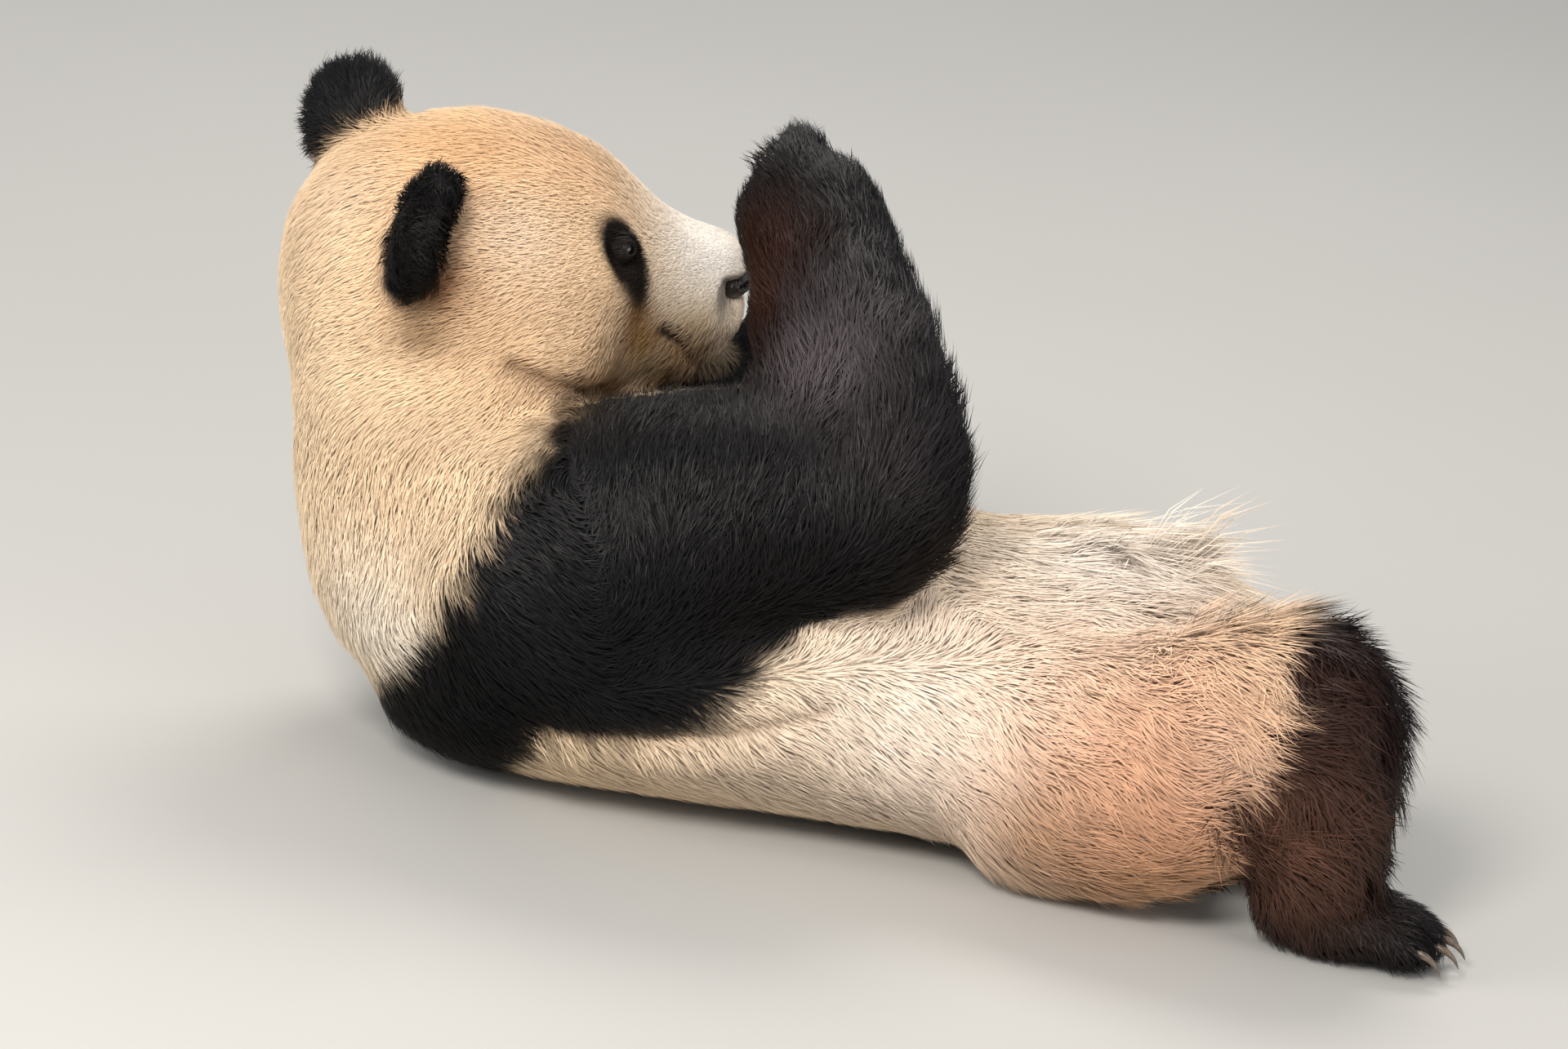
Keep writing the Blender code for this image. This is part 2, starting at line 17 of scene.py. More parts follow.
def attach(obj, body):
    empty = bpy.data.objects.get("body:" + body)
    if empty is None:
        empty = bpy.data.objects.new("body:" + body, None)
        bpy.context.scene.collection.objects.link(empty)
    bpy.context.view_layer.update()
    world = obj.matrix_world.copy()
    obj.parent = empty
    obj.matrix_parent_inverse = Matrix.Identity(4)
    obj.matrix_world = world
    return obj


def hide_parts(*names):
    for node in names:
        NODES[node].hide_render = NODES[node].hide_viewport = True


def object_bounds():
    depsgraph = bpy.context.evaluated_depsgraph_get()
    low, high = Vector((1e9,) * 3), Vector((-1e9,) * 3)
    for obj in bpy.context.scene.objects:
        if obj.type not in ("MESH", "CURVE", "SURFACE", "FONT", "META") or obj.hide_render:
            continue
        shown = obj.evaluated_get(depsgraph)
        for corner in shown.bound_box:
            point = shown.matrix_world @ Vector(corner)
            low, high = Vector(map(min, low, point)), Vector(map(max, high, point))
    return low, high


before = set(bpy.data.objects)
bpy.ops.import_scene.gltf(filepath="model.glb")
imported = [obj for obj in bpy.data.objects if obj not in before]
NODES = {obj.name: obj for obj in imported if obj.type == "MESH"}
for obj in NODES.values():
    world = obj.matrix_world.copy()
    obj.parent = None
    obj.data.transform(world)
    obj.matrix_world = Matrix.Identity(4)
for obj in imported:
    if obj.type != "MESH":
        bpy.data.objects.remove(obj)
CAD_BOX = [list(corner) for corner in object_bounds()]
MM = 0.001
rng = np.random.default_rng(7)
print("nodes:", len(NODES), "box:", [[round(x, 3) for x in corner] for corner in CAD_BOX])

# %% [markdown]
# ## Helpers for materials
# Colours are easiest to name as hex values, as on a colour chart, but Blender reckons in linear light, so one
# function turns the one into the other. A material is a tree of nodes, and a second function adds a node with
# its settings and links in one call. Whatever stays constant is set on the shader's own sockets, because an
# exporter reads it there.

# %% Colours and nodes
def linear(hex_colour):
    """An sRGB hex value as linear red, green, blue and alpha."""
    values = [int(hex_colour[i : i + 2], 16) / 255 for i in (1, 3, 5)]
    return (*[v / 12.92 if v <= 0.04045 else ((v + 0.055) / 1.055) ** 2.4 for v in values], 1.0)


def add_node(tree, kind, settings=None, **inputs):
    """Adds a shader node. Settings are its properties, and each input is a value or another node's output.

    Inputs that share a name go by their number: _6 is the seventh.
    """
    made = tree.nodes.new(kind)
    for name, value in (settings or {}).items():
        setattr(made, name, value)
    for name, value in inputs.items():
        socket = made.inputs[int(name[1:])] if name[1:].isdigit() else made.inputs[name.replace("_", " ")]
        if isinstance(value, bpy.types.NodeSocket):
            tree.links.new(value, socket)
        else:
            socket.default_value = value
    return made


def new_material(name, **settings):
    """A material with a Principled shader whose constant values are set on its own sockets."""
    made = bpy.data.materials.new(name)
    made.use_nodes = True
    shader = made.node_tree.nodes["Principled BSDF"]
    for socket, value in settings.items():
        shader.inputs[socket.replace("_", " ")].default_value = value
    return made, made.node_tree, shader


print("a warm cream in linear light:", [round(value, 3) for value in linear("#e8cca8")[:3]])

# %% [markdown]
# ## The stage
# A museum shot is plain: a pale floor that runs out of view and big soft lamps. The camera stands well back
# with a long lens, so the body isn't stretched, and it leans a little, as a hand-held one does.

# %% Floor, lamps and camera
CAMERA_AIM = Vector((-0.2912, 0.0687, 0.2137))
CAMERA_DISTANCE = 7.5
CAMERA_ELEVATION = math.radians(18.0)
CAMERA_ROLL = math.radians(8.0)
CAMERA_WIDTH = 1.344  # metres of the subject that the frame takes in
SENSOR = 36.0
FLOOR_REACH = 25.0  # metres from the middle to each edge, well out of view
LAMPS = (  # name, place and width in metres, power in watts and colour
    ("key lamp", (-1.3, -3.8, 3.0), 1.3, 222.0, "#fffaf3"),
    ("side lamp", (-3.2, -1.6, 1.6), 2.0, 70.0, "#fffcf8"),
    ("fill lamp", (2.8, -2.6, 1.3), 2.6, 55.0, "#fff8f0"),
    ("back lamp", (0.1, 2.0, 3.4), 2.0, 85.0, "#fffaf3"),
)
DAYLIGHT = 0.62  # strength of the even light from all round
MIDDLE = (Vector(CAD_BOX[0]) + Vector(CAD_BOX[1])) / 2


def add_lamp(name, place, size, power, colour):
    """A round soft lamp that faces the middle of the animal."""
    data = bpy.data.lights.new(name, "AREA")
    data.shape = "DISK"
    data.size = size
    data.energy = power
    data.color = linear(colour)[:3]
    lamp = bpy.data.objects.new(name, data)
    bpy.context.scene.collection.objects.link(lamp)
    lamp.location = place
    lamp.rotation_euler = (MIDDLE - Vector(place)).to_track_quat("-Z", "Y").to_euler()


def floor_material():
    # matt paint: no highlights, and faint clouds about 0.8 m wide, as a roller leaves
    made, tree, shader = new_material("matt painted floor", Roughness=0.75)
    place = add_node(tree, "ShaderNodeTexCoord").outputs["Object"]
    grain = add_node(tree, "ShaderNodeTexNoise", Vector=place, Scale=1.3, Detail=3.0)
    tone = add_node(tree, "ShaderNodeMix", {"data_type": "RGBA"}, Factor=grain.outputs["Fac"],
                    _6=linear("#a8a7a4"), _7=linear("#afaeab"))
    tree.links.new(tone.outputs[2], shader.inputs["Base Color"])
    return made


bm = bmesh.new()
bmesh.ops.create_grid(bm, x_segments=1, y_segments=1, size=FLOOR_REACH)
floor_mesh = bpy.data.meshes.new("floor")
bm.to_mesh(floor_mesh)
bm.free()
floor = bpy.data.objects.new("floor", floor_mesh)
bpy.context.scene.collection.objects.link(floor)
floor_mesh.materials.append(floor_material())

for lamp in LAMPS:
    add_lamp(*lamp)
bpy.context.scene.view_settings.view_transform = "Standard"  # so that the coat's colours come out as given
world = bpy.data.worlds.new("studio")
bpy.context.scene.world = world
world.use_nodes = True
background = world.node_tree.nodes["Background"]
background.inputs["Color"].default_value = linear("#e9ebee")
background.inputs["Strength"].default_value = DAYLIGHT

camera = bpy.data.objects.new("camera", bpy.data.cameras.new("camera"))
bpy.context.scene.collection.objects.link(camera)
bpy.context.scene.camera = camera
turn = Matrix.Rotation(math.radians(90) - CAMERA_ELEVATION, 4, "X") @ Matrix.Rotation(CAMERA_ROLL, 4, "Z")
camera.matrix_world = Matrix.Translation(CAMERA_AIM + turn.col[2].to_3d() * CAMERA_DISTANCE) @ turn
camera.data.sensor_width = SENSOR
camera.data.lens = SENSOR * CAMERA_DISTANCE / CAMERA_WIDTH
print("lamps:", len(LAMPS), "lens:", round(camera.data.lens, 1), "mm")

# %% [markdown]
# ## The regions of the coat
# A panda's hair isn't one length. It is a few millimetres on the muzzle, two centimetres on the crown and
# four or five on the flanks. One row for each kind of node says how deep the coat is, how long and wide a
# tuft is, how far apart tufts grow and how untidy they lie. Everything later reads this table.

# %% Regions
# millimetres: depth of the coat, length, width and spacing of its tufts and how far some stand out of it;
# then how untidy they lie, from 0 to 1
REGIONS = {
    "head": (6.5, 15.0, 1.00, 1.95, 1.0, 0.20),
    "ear": (4.0, 19.0, 0.85, 1.75, 13.0, 0.80),
    "neck": (9.0, 26.0, 1.40, 2.60, 3.0, 0.32),
    "chest": (9.0, 30.0, 1.50, 3.00, 3.0, 0.34),
    "belly": (9.5, 38.0, 1.50, 2.85, 5.0, 0.36),
    "tail": (8.0, 30.0, 1.50, 2.95, 4.0, 0.42),
    "upper_arm": (8.0, 27.0, 1.40, 2.75, 4.0, 0.36),
    "forearm": (7.5, 25.0, 1.35, 2.65, 6.0, 0.46),
    "forepaw": (6.0, 22.0, 1.25, 2.40, 5.0, 0.45),
    "thigh": (9.5, 36.0, 1.50, 2.85, 8.0, 0.50),
    "shank": (9.0, 32.0, 1.50, 2.80, 9.0, 0.58),
    "hindpaw": (6.0, 18.0, 1.30, 2.45, 4.0, 0.45),
}
# places where hair is longer and stands off in wisps: centre, radius in metres, more length and stand in mm
SHAGGY = (
    ("top of the belly", (-0.02, 0.02, 0.25), 0.05, 14.0, 26.0),
    ("end of the belly", (0.04, 0.00, 0.24), 0.06, 32.0, 78.0),
    ("top of the thigh", (0.07, -0.14, 0.25), 0.08, 30.0, 30.0),
    ("back of the shank", (0.19, -0.20, 0.17), 0.10, 14.0, 18.0),
    ("elbow", (-0.20, -0.16, 0.33), 0.09, 10.0, 18.0),
    ("forearm", (-0.24, -0.10, 0.42), 0.08, 8.0, 16.0),
    ("back of the paw", (-0.30, 0.00, 0.57), 0.04, 6.0, 14.0),
    ("toes", (-0.35, 0.04, 0.56), 0.04, 8.0, 3.0),
    ("toes of the left paw", (-0.34, 0.22, 0.45), 0.05, 10.0, 4.0),
    ("lips", (-0.385, 0.055, 0.375), 0.024, 11.0, 13.0),
    ("chin", (-0.400, 0.055, 0.345), 0.030, 14.0, 13.0),
)
WILDNESS = 0.006  # how much more untidy hair gets for each millimetre that it stands off
DEPTH, LENGTH, WIDTH, SPACING, STAND, UNTIDY = range(6)
FLESH = sorted(
    name for name in NODES if name != "nose" and not name.endswith("_eye") and "_claw_" not in name
)


def region_of(name):
    """A node's name without its side."""
    return name.removeprefix("left_").removeprefix("right_")


def points_of(name):
    """A node's vertices as an array."""
    mesh = NODES[name].data
    points = np.empty(len(mesh.vertices) * 3)
    mesh.vertices.foreach_get("co", points)
    return points.reshape(-1, 3)


CENTRES = {name: points_of(name).mean(axis=0) for name in NODES}
REGION_NAMES = np.array([region_of(name) for name in FLESH])
print("flesh:", len(FLESH), "nodes in", len(REGIONS), "regions")

# %% [markdown]
# ## One skin
# The flesh comes as pieces with fine cuts between them. Copies of the pieces, each grown by a hair's
# breadth so that they overlap, are fused on a voxel grid into one closed body. The grid step is just fine
# enough for lips and toes. A Remesh does this in one go, where joining meshes edge by edge would fail at
# every cut.

# %% Fusing the nodes
SKIN_VOXEL = 5.2 * MM
OVERLAP = 0.8 * MM
SAME_PLACE = 0.01 * MM  # vertices nearer than this are one


def mesh_object(name, mesh):
    """Puts a mesh into the scene as an object."""
    made = bpy.data.objects.new(name, mesh)
    bpy.context.scene.collection.objects.link(made)
    return made


def evaluated(obj):
    """Replaces an object's mesh by what its modifiers make of it."""
    graph = bpy.context.evaluated_depsgraph_get()
    mesh = bpy.data.meshes.new_from_object(obj.evaluated_get(graph))
    obj.modifiers.clear()
    old, obj.data = obj.data, mesh
    bpy.data.meshes.remove(old)
    return obj


def fused_skin():
    """The flesh and the nose as one closed mesh."""
    bm = bmesh.new()
    for name in [*FLESH, "nose"]:
        part = bmesh.new()
        part.from_mesh(NODES[name].data)
        bmesh.ops.remove_doubles(part, verts=part.verts, dist=SAME_PLACE)
        part.normal_update()
        for vertex in part.verts:
            vertex.co += vertex.normal * OVERLAP
        copy = bpy.data.meshes.new("part")
        part.to_mesh(copy)
        part.free()
        bm.from_mesh(copy)
        bpy.data.meshes.remove(copy)
    mesh = bpy.data.meshes.new("skin")
    bm.to_mesh(mesh)
    bm.free()
    skin = mesh_object("skin", mesh)
    fuse = skin.modifiers.new("fuse", "REMESH")
    fuse.mode = "VOXEL"
    fuse.voxel_size = SKIN_VOXEL
    return evaluated(skin)


def drop_bubbles(obj):
    """Keeps the outer surface, the largest island of the mesh."""
    bm = bmesh.new()
    bm.from_mesh(obj.data)
    left, largest = set(bm.verts), set()
    while left:
        island, edge = set(), [left.pop()]
        while edge:
            vertex = edge.pop()
            island.add(vertex)
            near = {e.other_vert(vertex) for e in vertex.link_edges} & left
            left -= near
            edge += near
        largest = max(largest, island, key=len)
    bmesh.ops.delete(bm, geom=[v for v in bm.verts if v not in largest], context="VERTS")
    bm.to_mesh(obj.data)
    bm.free()


skin = fused_skin()
drop_bubbles(skin)
print("skin:", len(skin.data.vertices), "vertices,", len(skin.data.polygons), "faces")

# %% [markdown]
# ## Reading the body
# Every vertex of the skin asks which node it belongs to. That gives it a row of the table and a way for its
# hair to lie, and both are then spread over the surface until they change smoothly. Spreading is an average
# with the neighbours, repeated, and with arrays it takes milliseconds.

# %% Arrays of the skin
def read(mesh):
    """A mesh's points, normals and edges as arrays."""
    points = np.empty(len(mesh.vertices) * 3)
    mesh.vertices.foreach_get("co", points)
    normals = np.empty(len(mesh.vertices) * 3, np.float32)
    mesh.vertex_normals.foreach_get("vector", normals)
    edges = np.empty(len(mesh.edges) * 2, np.int32)
    mesh.edges.foreach_get("vertices", edges)
    return points.reshape(-1, 3), normals.reshape(-1, 3).astype(float), edges.reshape(-1, 2)


def spread(values, edges, rounds, share=0.5):
    """Averages a value with its neighbours' along the edges. share is a number or one for each vertex."""
    values = values.copy()
    flat = values.reshape(len(values), -1)
    share = np.broadcast_to(share, len(flat))[:, None]
    ends = np.concatenate([edges[:, 0], edges[:, 1]])
    others = np.concatenate([edges[:, 1], edges[:, 0]])
    count = np.maximum(np.bincount(ends, minlength=len(flat)), 1)[:, None]
    for _ in range(rounds):
        total = np.stack(
            [np.bincount(ends, weights=column[others], minlength=len(flat)) for column in flat.T], axis=1
        )
        flat += share * (total / count - flat)
    return values


def nearest_nodes(points):
    """For each point, the index in FLESH of the node whose surface is nearest."""
    corners, faces, owners = [], [], []
    for index, name in enumerate(FLESH):
        mesh = NODES[name].data
        start = len(corners)
        corners += [v.co.copy() for v in mesh.vertices]
        faces += [[start + i for i in face.vertices] for face in mesh.polygons]
        owners += [index] * len(mesh.polygons)
    tree = BVHTree.FromPolygons(corners, faces)
    return np.array([owners[tree.find_nearest(Vector(p))[2]] for p in points])


def table_column(owner, column):
    """A column of REGIONS for each vertex."""
    rows = np.array([REGIONS[region][column] for region in REGION_NAMES])
    return rows[owner]


points, normals, edges = read(skin.data)
owner = nearest_nodes(points)
SOFTENED = {"head": 0.30, "ear": 0.20, "forepaw": 0.35, "hindpaw": 0.35}  # the rest are rounded off fully
softness = np.array([SOFTENED.get(region, 1.0) for region in REGION_NAMES])[owner]
softness = spread(softness, edges, 8)
points = spread(points, edges, 26, 0.5 * softness)  # so many rounds wear the voxels' steps away
print("vertices by node:", dict(zip(FLESH, np.bincount(owner, minlength=len(FLESH)).tolist())))

# %% [markdown]
# ## The head's own frame
# A face is easier to shape when its parts are placed by "ahead, left and up" of the head and not by the
# room's axes. The head is turned, pitched and tilted by the same angles as in the model, and each eye gets a
# small frame of its own: along its slit, across it, and out of the head.

# %% Frames of the head and the eyes
HEAD_ORIGIN = np.array((-0.664, -0.010, 0.505))
HEAD_YAW, HEAD_PITCH, HEAD_ROLL = (math.radians(angle) for angle in (15, 9, 10))
EYE_GAZE = (0.52, 0.74, 0.42)  # ahead, outward and up
SLIT_DROP = 0.35  # how far the slit of the eye drops for each length ahead
EYE_RADIUS = 11.5 * MM


def unit(vector):
    """A vector, or each row of an array, at length 1."""
    vector = np.asarray(vector, float)
    return vector / np.maximum(np.linalg.norm(vector, axis=-1, keepdims=True), 1e-9)


def smooth_step(values, low, high):
    """From 0 at the low end to 1 at the high end, with no corner at either."""
    t = np.clip((values - low) / (high - low), 0, 1)
    return t * t * (3 - 2 * t)


def eased(share, rise):
    """A factor that goes from share to 1 as rise goes from 0 to 1."""
    return share + (1 - share) * rise


def bell(distance, width):
    """1 at no distance, about a third at the width, and nearly nothing at twice the width."""
    return np.exp(-((distance / width) ** 2))


def distance_to(points, centre):
    return np.linalg.norm(points - centre, axis=1)


head_turn = Matrix.Rotation(HEAD_YAW, 3, "Z")
head_turn = head_turn @ Matrix.Rotation(-HEAD_PITCH, 3, "Y") @ Matrix.Rotation(HEAD_ROLL, 3, "X")
AHEAD, LEFT, UP = (np.array(head_turn.col[i]) for i in range(3))
NOSE = CENTRES["nose"]


def head_point(ahead, left, up):
    """A place in the head's own frame, in millimetres from the middle of the skull."""
    return HEAD_ORIGIN + (AHEAD * ahead + LEFT * left + UP * up) * MM


def eye_frame(side):
    """The eye's centre, the way along its slit, across it, and out of the head. side is 1 for the left."""
    centre = CENTRES["left_eye" if side > 0 else "right_eye"]
    outward = unit(AHEAD * EYE_GAZE[0] + LEFT * side * EYE_GAZE[1] + UP * EYE_GAZE[2])
    slit = AHEAD - SLIT_DROP * UP
    slit = unit(slit - outward * (slit @ outward))
    across = np.cross(outward, slit)
    return centre, slit, across * np.sign(UP @ across), outward


EYE_FRAMES = {side: eye_frame(side) for side in (1, -1)}
print("ahead", AHEAD.round(3), "left", LEFT.round(3), "up", UP.round(3))
print("eyes", [centre.round(4).tolist() for centre, *_ in EYE_FRAMES.values()], "nose", NOSE.round(4))

# %% [markdown]
# ## Where the hair points
# Fur lies from the nose backwards: over the brow and cheeks, down the neck and the trunk, and down each limb
# to the toes. On the face every hair points away from the nose, so a single point describes it. On the rest,
# a direction for each node is enough once it has been spread over the surface and laid flat against it.

# %% The lie of the coat
LIES = {  # for each region the nodes that its hair runs from and towards, and how much it hangs
    "neck": ("head", "chest", 0.30),
    "chest": ("neck", "belly", 0.35),
    "belly": ("chest", "tail", 0.25),
    "tail": ("belly", "tail", 0.0),
    "upper_arm": ("upper_arm", "forearm", 0.20),
    "forearm": ("upper_arm", "forepaw", 0.20),
    "forepaw": ("forearm", "forepaw", 0.20),
    "thigh": ("belly", "shank", 0.20),
    "shank": ("thigh", "hindpaw", 0.20),
    "hindpaw": ("shank", "hindpaw", 0.20),
}
DOWN = np.array((0, 0, -1.0))
CHIN = head_point(255, -15, -195)
CHIN_REACH = 0.04
EAR_ROOT = 45 * MM  # from the middle of an ear back to where its hair spreads from
LIE_ROUNDS = 30  # of spreading, which blends the directions over about 3 cm of skin
FACE_DROOP = 0.25  # how much the hair of the head points down
CHIN_DROOP = AHEAD * 0.7 + UP * 0.5  # the beard hangs the opposite way


def lie_of(name):
    """The way the hair of a node points, before it is laid flat."""
    start, end, hang = LIES[region_of(name)]
    side = name.removesuffix(region_of(name))
    start, end = (CENTRES[link if link in CENTRES else side + link] for link in (start, end))
    return unit(unit(end - start) + hang * DOWN)


def laid_flat(vectors, normals):
    """Directions pressed onto the surface that the normals stand on."""
    return unit(vectors - normals * np.einsum("nd,nd->n", vectors, normals)[:, None])


def lie_at(points, normals, owner, edges):
    """The way the hair points at each vertex of the skin."""
    lie = np.zeros((len(points), 3))
    for index, name in enumerate(FLESH):
        here = owner == index
        if name == "head":
            chin = bell(distance_to(points[here], CHIN), CHIN_REACH)[:, None]  # a beard hangs back from it
            lie[here] = unit(points[here] - NOSE) - FACE_DROOP * UP - chin * CHIN_DROOP
        elif region_of(name) == "ear":
            root = CENTRES[name] - unit(CENTRES[name] - HEAD_ORIGIN) * EAR_ROOT
            lie[here] = unit(points[here] - root)
        else:
            lie[here] = lie_of(name)
    return laid_flat(spread(laid_flat(lie, normals), edges, LIE_ROUNDS), normals)


print("hair points to", {name: lie_of(name).round(2).tolist() for name in ("neck", "belly", "tail")})

# %% [markdown]
# ## Under the coat
# The skin moves inwards by the depth of the coat. Round the eyes, the lips and the nose it will get fine
# forms, so there its faces are divided next, because a fold can't be narrower than the faces that carry it.

# %% Sinking and dividing the skin
# how much of the coat's depth is left at the nose or at an eye, and how far from it, in metres, it thins
THIN_AT_THE_NOSE = (0.22, 0.03, 0.15)
THIN_AT_AN_EYE = (0.35, 0.02, 0.06)
NARROWER = 0.8  # each further division covers this much of the radius before
FINE_ZONES = (  # centre and radius in metres, and how often the faces there are divided
    (EYE_FRAMES[1][0], 0.030, 2),
    (EYE_FRAMES[-1][0], 0.030, 2),
    (NOSE, 0.062, 1),
)


def write(mesh, points):
    """Moves the vertices of a mesh to the given points."""
    mesh.vertices.foreach_set("co", points.astype(np.float32).ravel())
    mesh.update()


def thinned_out(gap, share, near, far):
    """A factor for the coat's depth, from the distance to a place where the coat is thin."""
    return eased(share, smooth_step(gap, near, far))


def divide(mesh, zones):
    """Makes the faces near a few places smaller."""
    bm = bmesh.new()
    bm.from_mesh(mesh)
    for centre, radius, times in zones:
        centre = Vector(centre)
        for _ in range(times):
            near = [e for e in bm.edges if (e.verts[0].co - centre).length < radius]
            bmesh.ops.subdivide_edges(bm, edges=near, cuts=1, use_grid_fill=True)
            radius *= NARROWER
    bmesh.ops.triangulate(bm, faces=[f for f in bm.faces if len(f.verts) > 4])
    bm.to_mesh(mesh)
    bm.free()


write(skin.data, points)
points, normals, edges = read(skin.data)
depth = spread(table_column(owner, DEPTH) * MM, edges, 14)
depth *= thinned_out(distance_to(points, NOSE), *THIN_AT_THE_NOSE)
for centre, *_ in EYE_FRAMES.values():
    depth *= thinned_out(distance_to(points, centre), *THIN_AT_AN_EYE)
# smoother normals, and a little smoothing afterwards, keep creases from tangling as they sink
normals = unit(spread(normals, edges, 3))
sunk = points - normals * depth[:, None]
write(skin.data, spread(sunk, edges, 3))
divide(skin.data, FINE_ZONES)
points, normals, edges = read(skin.data)
owner = nearest_nodes(points)
thinnest, deepest = (round(float(value / MM), 1) for value in (depth.min(), depth.max()))
print("divided:", len(points), "vertices; coat", thinnest, "to", deepest, "mm deep")

# %% [markdown]
# ## Lids
# A panda's eye looks small because thick dark lids close over most of the ball. In the eye's own frame the
# opening is an almond: inside it the skin drops behind the ball, and outside it wraps over the ball as a lid
# about a millimetre thick. A modelled loop of edges would give the same rim, but this way the lids can be cut
# into a skin whose edges run anywhere.

# %% Lids over the eyeballs
EYE_HALF_WIDTH = 7.6 * MM
EYE_HALF_HEIGHT = 5.2 * MM
LID = 1.2 * MM  # its thickness
RIM = 0.8 * MM  # how much thicker it is along the opening
BEHIND = 3.5 * MM  # how far the skin in the opening lies behind the ball's front
LID_REACH = 0.026  # metres from the middle of the eye
LID_BACK = -0.014  # the skin further back than this belongs to the cheek
LID_END = (0.0095, 0.024)  # metres from the middle, between which a lid runs out into the face
RIM_AT, RIM_WIDTH = 0.25, 0.3  # on a scale that is 0 along the opening's edge and grows outwards


def lids(points):
    """Moves the skin round both eyes to make lids, and says how far each point is inside an opening."""
    inside = np.zeros(len(points))
    for centre, slit, across, outward in EYE_FRAMES.values():
        local = points - centre
        a, b, c = local @ slit, local @ across, local @ outward
        rho = np.hypot(a, b)
        near = (rho < LID_REACH) & (c > LID_BACK)
        ball = np.sqrt(np.maximum(EYE_RADIUS**2 - rho**2, 0))
        almond = np.abs(b) / EYE_HALF_HEIGHT - np.maximum(1 - (a / EYE_HALF_WIDTH) ** 2, -1)  # below 0 inside
        opened = near & (almond < 0)
        rim = bell(almond - RIM_AT, RIM_WIDTH) * RIM
        lid = ball + LID + rim
        blend = smooth_step(rho, *LID_END)
        target = np.where(opened, ball - BEHIND, lid * (1 - blend) + c * blend)
        points[near] += outward * (target - c)[near, None]
        inside[near] = np.maximum(inside[near], smooth_step(-almond[near], -0.25, 0.1))
    return points, inside


print("the lids open", round(2 * EYE_HALF_WIDTH / MM, 1), "by", round(2 * EYE_HALF_HEIGHT / MM, 1), "mm")

# %% [markdown]
# ## Nose bed and chin
# The nose pad is a piece of its own, so the skin must make room for it: behind its front and sides the skin
# is drawn in towards the pad's middle, and the pad stands out like a stone from its setting. Below it, the
# chin of the fused skin is too full, and everything in front of one slope is laid back onto it.

# %% Room for the nose pad, and a shorter chin
PAD = head_point(294, 0, -138)
PAD_SIZE = np.array((19.0, 25.0, 15.0)) * MM  # ahead, left and up
HEAD_AXES = np.array((AHEAD, LEFT, UP)).T
BED = 0.86  # of the pad's size, how close to its middle the skin is drawn
CHIN_SLOPE = ((288, -176), (252, -206))  # ahead and up: from under the nose to the tip of the chin
CHIN_BEGINS = (158, 178)  # mm below the skull's middle, between which the trimming sets in


def around_the_pad(points):
    """Draws the skin in behind the front and the sides of the nose pad, so that the pad stands out of it."""
    local = (points - PAD) @ HEAD_AXES / PAD_SIZE
    reach = np.linalg.norm(local, axis=1)
    ahead, _, up = (local / np.maximum(reach, 1e-9)[:, None]).T
    # exposed is 1 in front of the pad and at its sides, and 0 behind, above, below and far from it
    exposed = smooth_step(ahead, -0.55, -0.25) * (1 - smooth_step(up, 0.55, 0.75))
    exposed = exposed * smooth_step(up, -0.85, -0.65) * (1 - smooth_step(reach, 1.9, 2.3))
    drawn = np.minimum(reach, BED)
    factor = 1 + exposed * (drawn / np.maximum(reach, 1e-9) - 1)
    return PAD + (points - PAD) * factor[:, None]


def trim_chin(points, owner):
    """Draws back what bulges in front of the slope from the nose to the chin."""
    (top_ahead, top_up), (low_ahead, low_up) = CHIN_SLOPE
    facing = unit((top_up - low_up, low_ahead - top_ahead))
    ahead, up = ((points - HEAD_ORIGIN) @ axis / MM for axis in (AHEAD, UP))
    beyond = (ahead - top_ahead) * facing[0] + (up - top_up) * facing[1]
    beyond = np.maximum(beyond, 0) * smooth_step(-up, *CHIN_BEGINS) * MM * (owner == FLESH.index("head"))
    return points - beyond[:, None] * (AHEAD * facing[0] + UP * facing[1])


print("nose pad:", (2 * PAD_SIZE / MM).tolist(), "mm long, wide and high")

# %% [markdown]
# ## Lips, folds and small corrections
# The mouth is a groove along a curve from the corner of the lips to under the nose, and the creases of the
# cheek and the flank are shallower grooves. Each line has a few points only. It is divided finely and laid
# onto the skin, and the skin sinks by a bell of the distance to it. A few places are also pushed a little way
# over, with the same bell, as a hand would push clay.

# %% Lines and pushes
MOUTH = (  # ahead, outward and up in the head's frame, from the corner of the lips to the front
    (218, 46, -142),
    (234, 40, -155),
    (249, 32, -169),
    (265, 22, -178),
    (279, 10, -183),
    (282, 0, -186),
)
MOUTH_DEPTH = 5.0  # mm
MOUTH_HALF_WIDTH = 4.2 * MM
LIP_DIRT = (8.0 * MM, 0.85)  # how far from the groove the lips are stained, and how much
CHEEK_FOLD = ((-0.530, -0.10, 0.376), (-0.500, -0.09, 0.362), (-0.455, -0.03, 0.340), (-0.440, 0.01, 0.331))
FLANK_FOLD = ((-0.482, -0.22, 0.076), (-0.365, -0.22, 0.102), (-0.298, -0.22, 0.127), (-0.243, -0.22, 0.151))
FOLDS = (  # creases in the coat: their points, depth and half width in mm, and how much painted shade darkens them
    (CHEEK_FOLD, 8.0, 8.0, 0.75),
    (FLANK_FOLD, 8.0, 12.0, 0.35),
)
PUSHES = (  # places that are pushed: centre, radius in metres, and by how much in mm
    ("tip of the muzzle", head_point(286, 0, -116), 0.034, AHEAD * 15 + UP * 8),
    ("bridge of the nose", head_point(200, 0, -30), 0.055, UP * 11),
    ("top of the raised paw", np.array((-0.345, 0.03, 0.59)), 0.055, np.array((4.0, 0.0, -16.0))),
    ("forearm beside the muzzle", np.array((-0.362, -0.02, 0.445)), 0.050, np.array((13.0, -4.0, 0.0))),
)
LINE_STEPS = 25  # points of a line once it is divided


